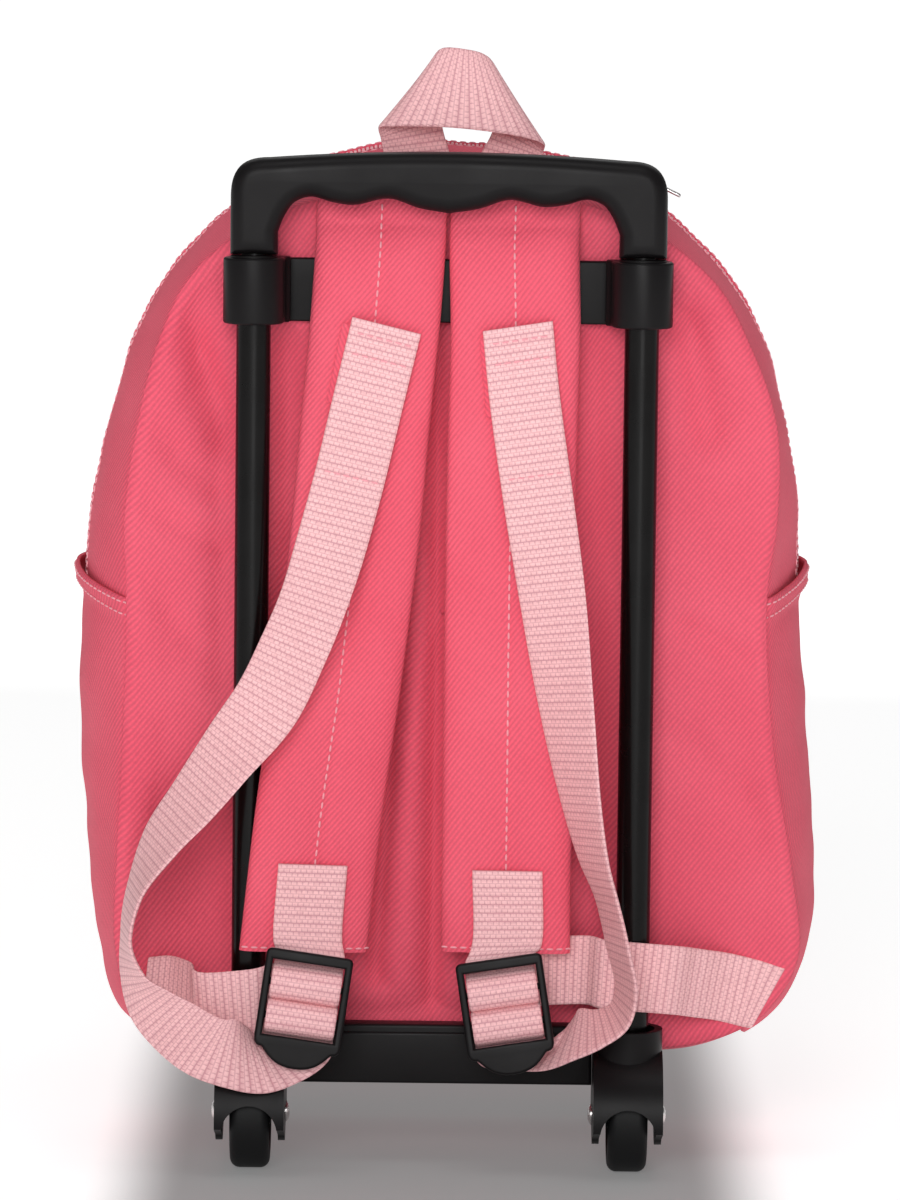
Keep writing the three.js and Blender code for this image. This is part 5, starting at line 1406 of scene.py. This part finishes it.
# The collars. A moulded ring round the top of each leg has a bracket that bridges to the upper bar in a
# hollow curve, and a lip that guides the sliding tube.
SLIDING_FIT = 0.12  # room round the sliding tube
INNER_TUBE = 9
COLLAR = 21.4
BRACKET_REACH = 12.6
for name, side in (("left", -1), ("right", 1)):
    flat_y = -SEAM_GAP - BAR_THICKNESS - SEAM_GAP + TUBE_OUT
    r = COLLAR / 2
    flat_angle = math.asin(flat_y / r)
    arc = [
        (r * math.cos(a), r * math.sin(a))
        for a in np.linspace(math.pi - flat_angle, 2 * math.pi + flat_angle - 1.05, 60)
    ]
    last = arc[-1]
    bridge = bezier(
        last,
        (r * 1.0, flat_y - 6.2),
        (BRACKET_REACH - 0.6, flat_y - 5.6),
        (BRACKET_REACH, flat_y - 4.6),
        count=8,
    )
    plan = arc + bridge + [(BRACKET_REACH, flat_y)]
    plan = [(-side * x, y) for x, y in plan]
    bore = [
        ((INNER_TUBE / 2 + SLIDING_FIT) * math.cos(a), (INNER_TUBE / 2 + SLIDING_FIT) * math.sin(a))
        for a in np.linspace(0, 2 * math.pi, 48, endpoint=False)
    ]
    verts, faces = moulded(
        [plan, bore],
        COLLAR_HEIGHT,
        0.9,
        standing(side * TUBE_SPACING / 2, -TUBE_OUT, (collar_top + collar_bottom) / 2),
        4,
    )
    lip_inside = INNER_TUBE / 2 + SLIDING_FIT
    lip = [(lip_inside, -1), (lip_inside, 0.8), (8.0, 0.8), (8.3, 0.5), (8.3, -1)]
    lip_form = turned(lip, 64, standing(side * TUBE_SPACING / 2, -TUBE_OUT, collar_top))
    made = mesh_piece(f"collar_{name}_moulding", *joined([(verts, faces), lip_form]))
    dress(made, black_plastic, "bag", "black_plastic", f"collar_{name}")


# Steel tube in gloss black stove enamel. It is smooth and mirrors the soft boxes as long upright lines.
def enamel(name, colour):
    made, tree, out = material(name)
    where = add(tree, "TexCoord").outputs["Object"]
    peel = add(tree, "TexNoise", {"Vector": where, "Scale": 500.0, "Detail": 2.0}).outputs["Fac"]
    rubbed = add(tree, "TexNoise", {"Vector": where, "Scale": 60.0, "Detail": 5.0}).outputs["Fac"]
    shine = add(
        tree, "MapRange", {"Value": rubbed, "From Min": 0.4, "From Max": 0.7, "To Min": 0.2, "To Max": 0.34}
    )
    bump = add(tree, "Bump", {"Height": peel, "Strength": 0.1, "Distance": 0.00005}).outputs[0]
    surface = add(
        tree,
        "BsdfPrincipled",
        {
            "Base Color": linear(colour),
            "Roughness": shine.outputs[0],
            "IOR": 1.5,
            "Specular IOR Level": 0.16,
            "Normal": bump,
        },
    )
    tree.links.new(surface.outputs[0], out.inputs["Surface"])
    return made


black_enamel = enamel("black_enamelled_steel", "#070505")


def tube(radius, wall, z0, z1):
    """The closed profile of a length of tube, with the burr at its ends broken."""
    return [
        (radius - 0.25, z0), (radius, z0 + 0.25), (radius, z1 - 0.25), (radius - 0.25, z1),
        (radius - wall, z1), (radius - wall, z0),
    ]


# The legs. A fixed tube of black enamelled steel stands in each wheel housing, and a thinner one slides in
# it with the handle.
COLLAR_LIP = 3
HOUSING_TOP = 51.2
TUBE_WALL = 0.9
INNER_TUBE_END = 52
SOCKET_DEPTH = 6.2
BORE_DEPTH = 15
for name, side in (("left", -1), ("right", 1)):
    at = standing(side * TUBE_SPACING / 2, -TUBE_OUT, 0)
    outer = tube(
        OUTER_TUBE / 2,
        TUBE_WALL,
        HOUSING_TOP - SOCKET_DEPTH + SEAM_GAP,
        collar_top - COLLAR_LIP - SEAM_GAP,
    )
    made = mesh_piece(f"outer_tube_{name}_steel", *turned(outer, 64, at))
    dress(made, black_enamel, "bag", "black_tube", f"outer_tube_{name}")
    thin = tube(INNER_TUBE / 2, TUBE_WALL, INNER_TUBE_END, SLEEVE_END + BORE_DEPTH - SEAM_GAP)
    made = mesh_piece(f"inner_tube_{name}_steel", *turned(thin, 64, at))
    dress(made, black_enamel, "handle", "black_tube", f"inner_tube_{name}")

# The handle. It is moulded in black plastic round the tops of the sliding tubes, with a bowed grip whose
# underside has four hollows for the fingers.
HANDLE_TOP = 359
HANDLE_SLEEVE = 16.5
GRIP_UNDER = [
    # across, up
    (0.84, 0.39), (0.79, 0.51), (0.71, 0.56), (0.6, 0.51),
    (0.49, 0.485), (0.31, 0.55), (0.15, 0.46), (0, 0.415),
]
half = TUBE_SPACING / 2 + HANDLE_SLEEVE / 2
inner = TUBE_SPACING / 2 - HANDLE_SLEEVE / 2
rise = HANDLE_TOP - SLEEVE_END
shoulder = SLEEVE_END + 0.93 * rise


def grip_z(up):
    return SLEEVE_END + up * rise


under = [(across * TUBE_SPACING / 2, grip_z(up)) for across, up in GRIP_UNDER]
right_side = [(inner, SLEEVE_END), (half, SLEEVE_END), (half, grip_z(0.56))]
right_side += bezier(
    (half, grip_z(0.56)), (half, grip_z(0.82)), (half * 0.95, shoulder), (half * 0.82, shoulder)
)
right_side += bezier((half * 0.82, shoulder), (half * 0.4, HANDLE_TOP), (0, HANDLE_TOP))
below = [(inner, grip_z(0.22))] + under
below = spline([(x, z, 0) for x, z in below], 8)[:, :2]
grip_outline = right_side + [(-x, z) for x, z in right_side[-2::-1]]
grip_outline += [(-x, z) for x, z in below] + [tuple(p) for p in below[-2::-1]]
verts, faces = moulded(
    [grip_outline], HANDLE_SLEEVE, HANDLE_SLEEVE * 0.32, standing(0, -TUBE_OUT, 0, "XZ"), 8
)
grip = mesh_piece("handle_grip_moulding", verts, faces, 50)
dress(grip, black_plastic, "handle", "black_plastic", "handle_grip")

# The wheel housings. Each is a moulded socket for a leg above a hood that arches over the wheel and ends
# in two fork cheeks, which hold the axle.
WHEEL = 40
WHEEL_CLEARANCE = 1.4
HOOD_WALL = 2.2
FORK_WALL = 2.4
FORK_END = 10.4
ARCH_TOP = 26
SOCKET_RECESS = 2.6
SOCKET_RECESS_WIDTH = 19
AXLE = 4
hood_radius = WHEEL / 2 + WHEEL_CLEARANCE + HOOD_WALL


def round_bar_form(radius, length, matrix, sides=96):
    """A plain cylinder, as points and faces."""
    angles = np.linspace(0, 2 * math.pi, sides, endpoint=False)
    ring = np.column_stack([radius * np.cos(angles), radius * np.sin(angles)])
    verts = np.concatenate([np.column_stack([ring, np.full(sides, z)]) for z in (-length / 2, length / 2)])
    faces = [(j, (j + 1) % sides, sides + (j + 1) % sides, sides + j) for j in range(sides)]
    faces += [tuple(range(sides - 1, -1, -1)), tuple(range(sides, 2 * sides))]
    matrix = np.array(matrix)
    return verts @ matrix[:3, :3].T + matrix[:3, 3], faces


def carve(made, verts, faces, operation):
    """Joins a form to a piece, or cuts it out."""
    tool = mesh_piece("tool", verts, faces)
    change = made.modifiers.new("carve", "BOOLEAN")
    change.operation = operation
    change.solver = "EXACT"
    change.object = tool
    shape = bpy.data.meshes.new_from_object(made.evaluated_get(bpy.context.evaluated_depsgraph_get()))
    made.modifiers.clear()
    made.data = shape
    bpy.data.objects.remove(tool)


for name, side in (("left", -1), ("right", 1)):
    x = side * WHEEL_SPACING / 2
    half = HOUSING_WIDTH / 2
    axis_z = WHEEL / 2
    across_here = standing(x, -TUBE_OUT, axis_z, "YZ")
    cheek = [
        (-hood_radius * math.sin(a), hood_radius * math.cos(a))
        for a in np.linspace(-0.1, math.pi + 0.1, 64)
    ]
    cheek += [(-FORK_END * math.sin(a), FORK_END * math.cos(a)) for a in np.linspace(3.9, 5.5, 20)]
    made = mesh_piece(f"wheel_housing_{name}_moulding", *moulded([cheek], HOUSING_WIDTH, 0.0, across_here))
    socket_height = HOUSING_TOP - ARCH_TOP
    upright_here = standing(x, -TUBE_OUT, ARCH_TOP + socket_height / 2)
    carve(made, *round_bar_form(half, socket_height, upright_here, 128), "UNION")
    arch = half - FORK_WALL
    arch_plan = [(x + arch, -60), (x + arch, ARCH_TOP - arch)]
    arch_plan += [
        (x + arch * math.cos(a), ARCH_TOP - arch + arch * math.sin(a))
        for a in np.linspace(0.1, math.pi - 0.1, 24)
    ]
    arch_plan += [(x - arch, ARCH_TOP - arch), (x - arch, -60)]
    carve(made, *moulded([arch_plan], 4 * hood_radius, 0.0, standing(0, -TUBE_OUT, 0, "XZ")), "DIFFERENCE")
    room = standing(x, -TUBE_OUT, axis_z, "YZ")
    wheel_room = round_bar_form(hood_radius - HOOD_WALL, HOUSING_WIDTH - 2 * FORK_WALL, room, 128)
    carve(made, *wheel_room, "DIFFERENCE")
    bore_at = standing(side * TUBE_SPACING / 2, -TUBE_OUT, HOUSING_TOP)
    carve(made, *round_bar_form(OUTER_TUBE / 2 + SEAM_GAP, 2 * SOCKET_DEPTH, bore_at, 64), "DIFFERENCE")
    recess_at = standing(x, -TUBE_OUT, HOUSING_TOP)
    carve(made, *round_bar_form(SOCKET_RECESS_WIDTH / 2, 2 * SOCKET_RECESS, recess_at, 80), "DIFFERENCE")
    carve(made, *round_bar_form(AXLE / 2 + SEAM_GAP, HOUSING_WIDTH + 4, across_here, 32), "DIFFERENCE")
    rounded = made.modifiers.new("rounded", "BEVEL")
    rounded.width = 0.4 * MM
    rounded.segments = 2
    rounded.limit_method = "ANGLE"
    rounded.angle_limit = math.radians(40)
    made.data.polygons.foreach_set("use_smooth", [True] * len(made.data.polygons))
    made.data.set_sharp_from_angle(angle=math.radians(35))
    dress(made, black_plastic, "bag", "black_plastic", f"wheel_housing_{name}")

# The wheels. Each has a polyurethane tyre with round shoulders on a moulded hub, and turns on a steel
# axle with riveted heads.
WHEEL_WIDTH = 14
HUB = 9.6
TYRE_ROUND = 3.4
AXLE_HEAD = 7.4
AXLE_HEAD_THICKNESS = 1.3
RUNNING_FIT = 0.08
tyre_rubber = moulded_material("black_polyurethane_tyre", "#131314", 0.55, 0.8, 0.06, 0.2)
half_wheel = WHEEL_WIDTH / 2
radius = WHEEL / 2
profile = [
    (AXLE / 2 + RUNNING_FIT, -half_wheel + 0.2),
    (HUB / 2 - 0.4, -half_wheel),
    (HUB / 2, -half_wheel + 0.3),
]
profile += [
    (HUB / 2, -half_wheel + 1.6),
    (radius - TYRE_ROUND - 2.6, -half_wheel + 1.7),
    (radius - TYRE_ROUND - 2.2, -half_wheel + 0.6),
]
profile += [(radius - TYRE_ROUND - 1.4, -half_wheel)]
profile += [
    (radius - TYRE_ROUND + TYRE_ROUND * math.sin(a), -half_wheel + TYRE_ROUND - TYRE_ROUND * math.cos(a))
    for a in np.linspace(0, math.pi / 2, 9)
]
profile += [(radius, -1.2)]
wheel_profile = profile + [(r, -h) for r, h in reversed(profile)]
head = HOUSING_WIDTH / 2 + SEAM_GAP + AXLE_HEAD_THICKNESS
head_side = [
    (0.01, -head),
    (AXLE_HEAD * 0.2, -head + 0.05),
    (AXLE_HEAD * 0.36, -head + 0.35),
    (AXLE_HEAD / 2, -head + AXLE_HEAD_THICKNESS - 0.25),
]
head_side += [(AXLE_HEAD / 2, -head + AXLE_HEAD_THICKNESS), (AXLE / 2, -head + AXLE_HEAD_THICKNESS)]
axle_profile = head_side + [(r, -h) for r, h in reversed(head_side)]
for name, side in (("left", -1), ("right", 1)):
    at = standing(side * WHEEL_SPACING / 2, -TUBE_OUT, WHEEL / 2, "YZ")
    made = mesh_piece(f"wheel_{name}_tyre", *turned(wheel_profile, 96, at))
    dress(made, tyre_rubber, f"{name}_wheel", "wheel_rubber", f"wheel_{name}")
    made = mesh_piece(f"axle_{name}_steel", *turned(axle_profile, 48, at))
    dress(made, plated, "bag", "plated_metal", f"axle_{name}")

# The front stand. It is moulded in one piece of black plastic and fixed under the bag: two arms run
# forward to feet that hold it level with the wheels.
STAND_ARM_WIDTH = 11
STAND_ARM_HEIGHT = 4
FOOT_LENGTH = 11
FOOT_SPACING = 141
inner = (FOOT_SPACING - STAND_ARM_WIDTH) / 2
outer = inner + STAND_ARM_WIDTH
stand_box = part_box("front_stand")
top = stand_box[1].z / MM
start = stand_box[0].y / MM - BACK
end = BAG_DEPTH * 0.96
parts = [plate_of(-outer, outer, end - FOOT_LENGTH, end, top - STAND_ARM_HEIGHT, top)]
for side in (-1, 1):
    x0, x1 = sorted((side * inner, side * outer))
    parts.append(plate_of(x0, x1, start, end, top - STAND_ARM_HEIGHT, top))
    foot_plan = [(x0 + 0.6, 0), (x1 - 0.6, 0), (x1, top), (x0, top)]
    parts.append(moulded([foot_plan], FOOT_LENGTH, 1.0, standing(0, end - FOOT_LENGTH / 2, 0, "XZ"), 3))
stand = mesh_piece("front_stand_moulding", *joined(parts))
dress(stand, black_plastic, "bag", "black_plastic", "front_stand")
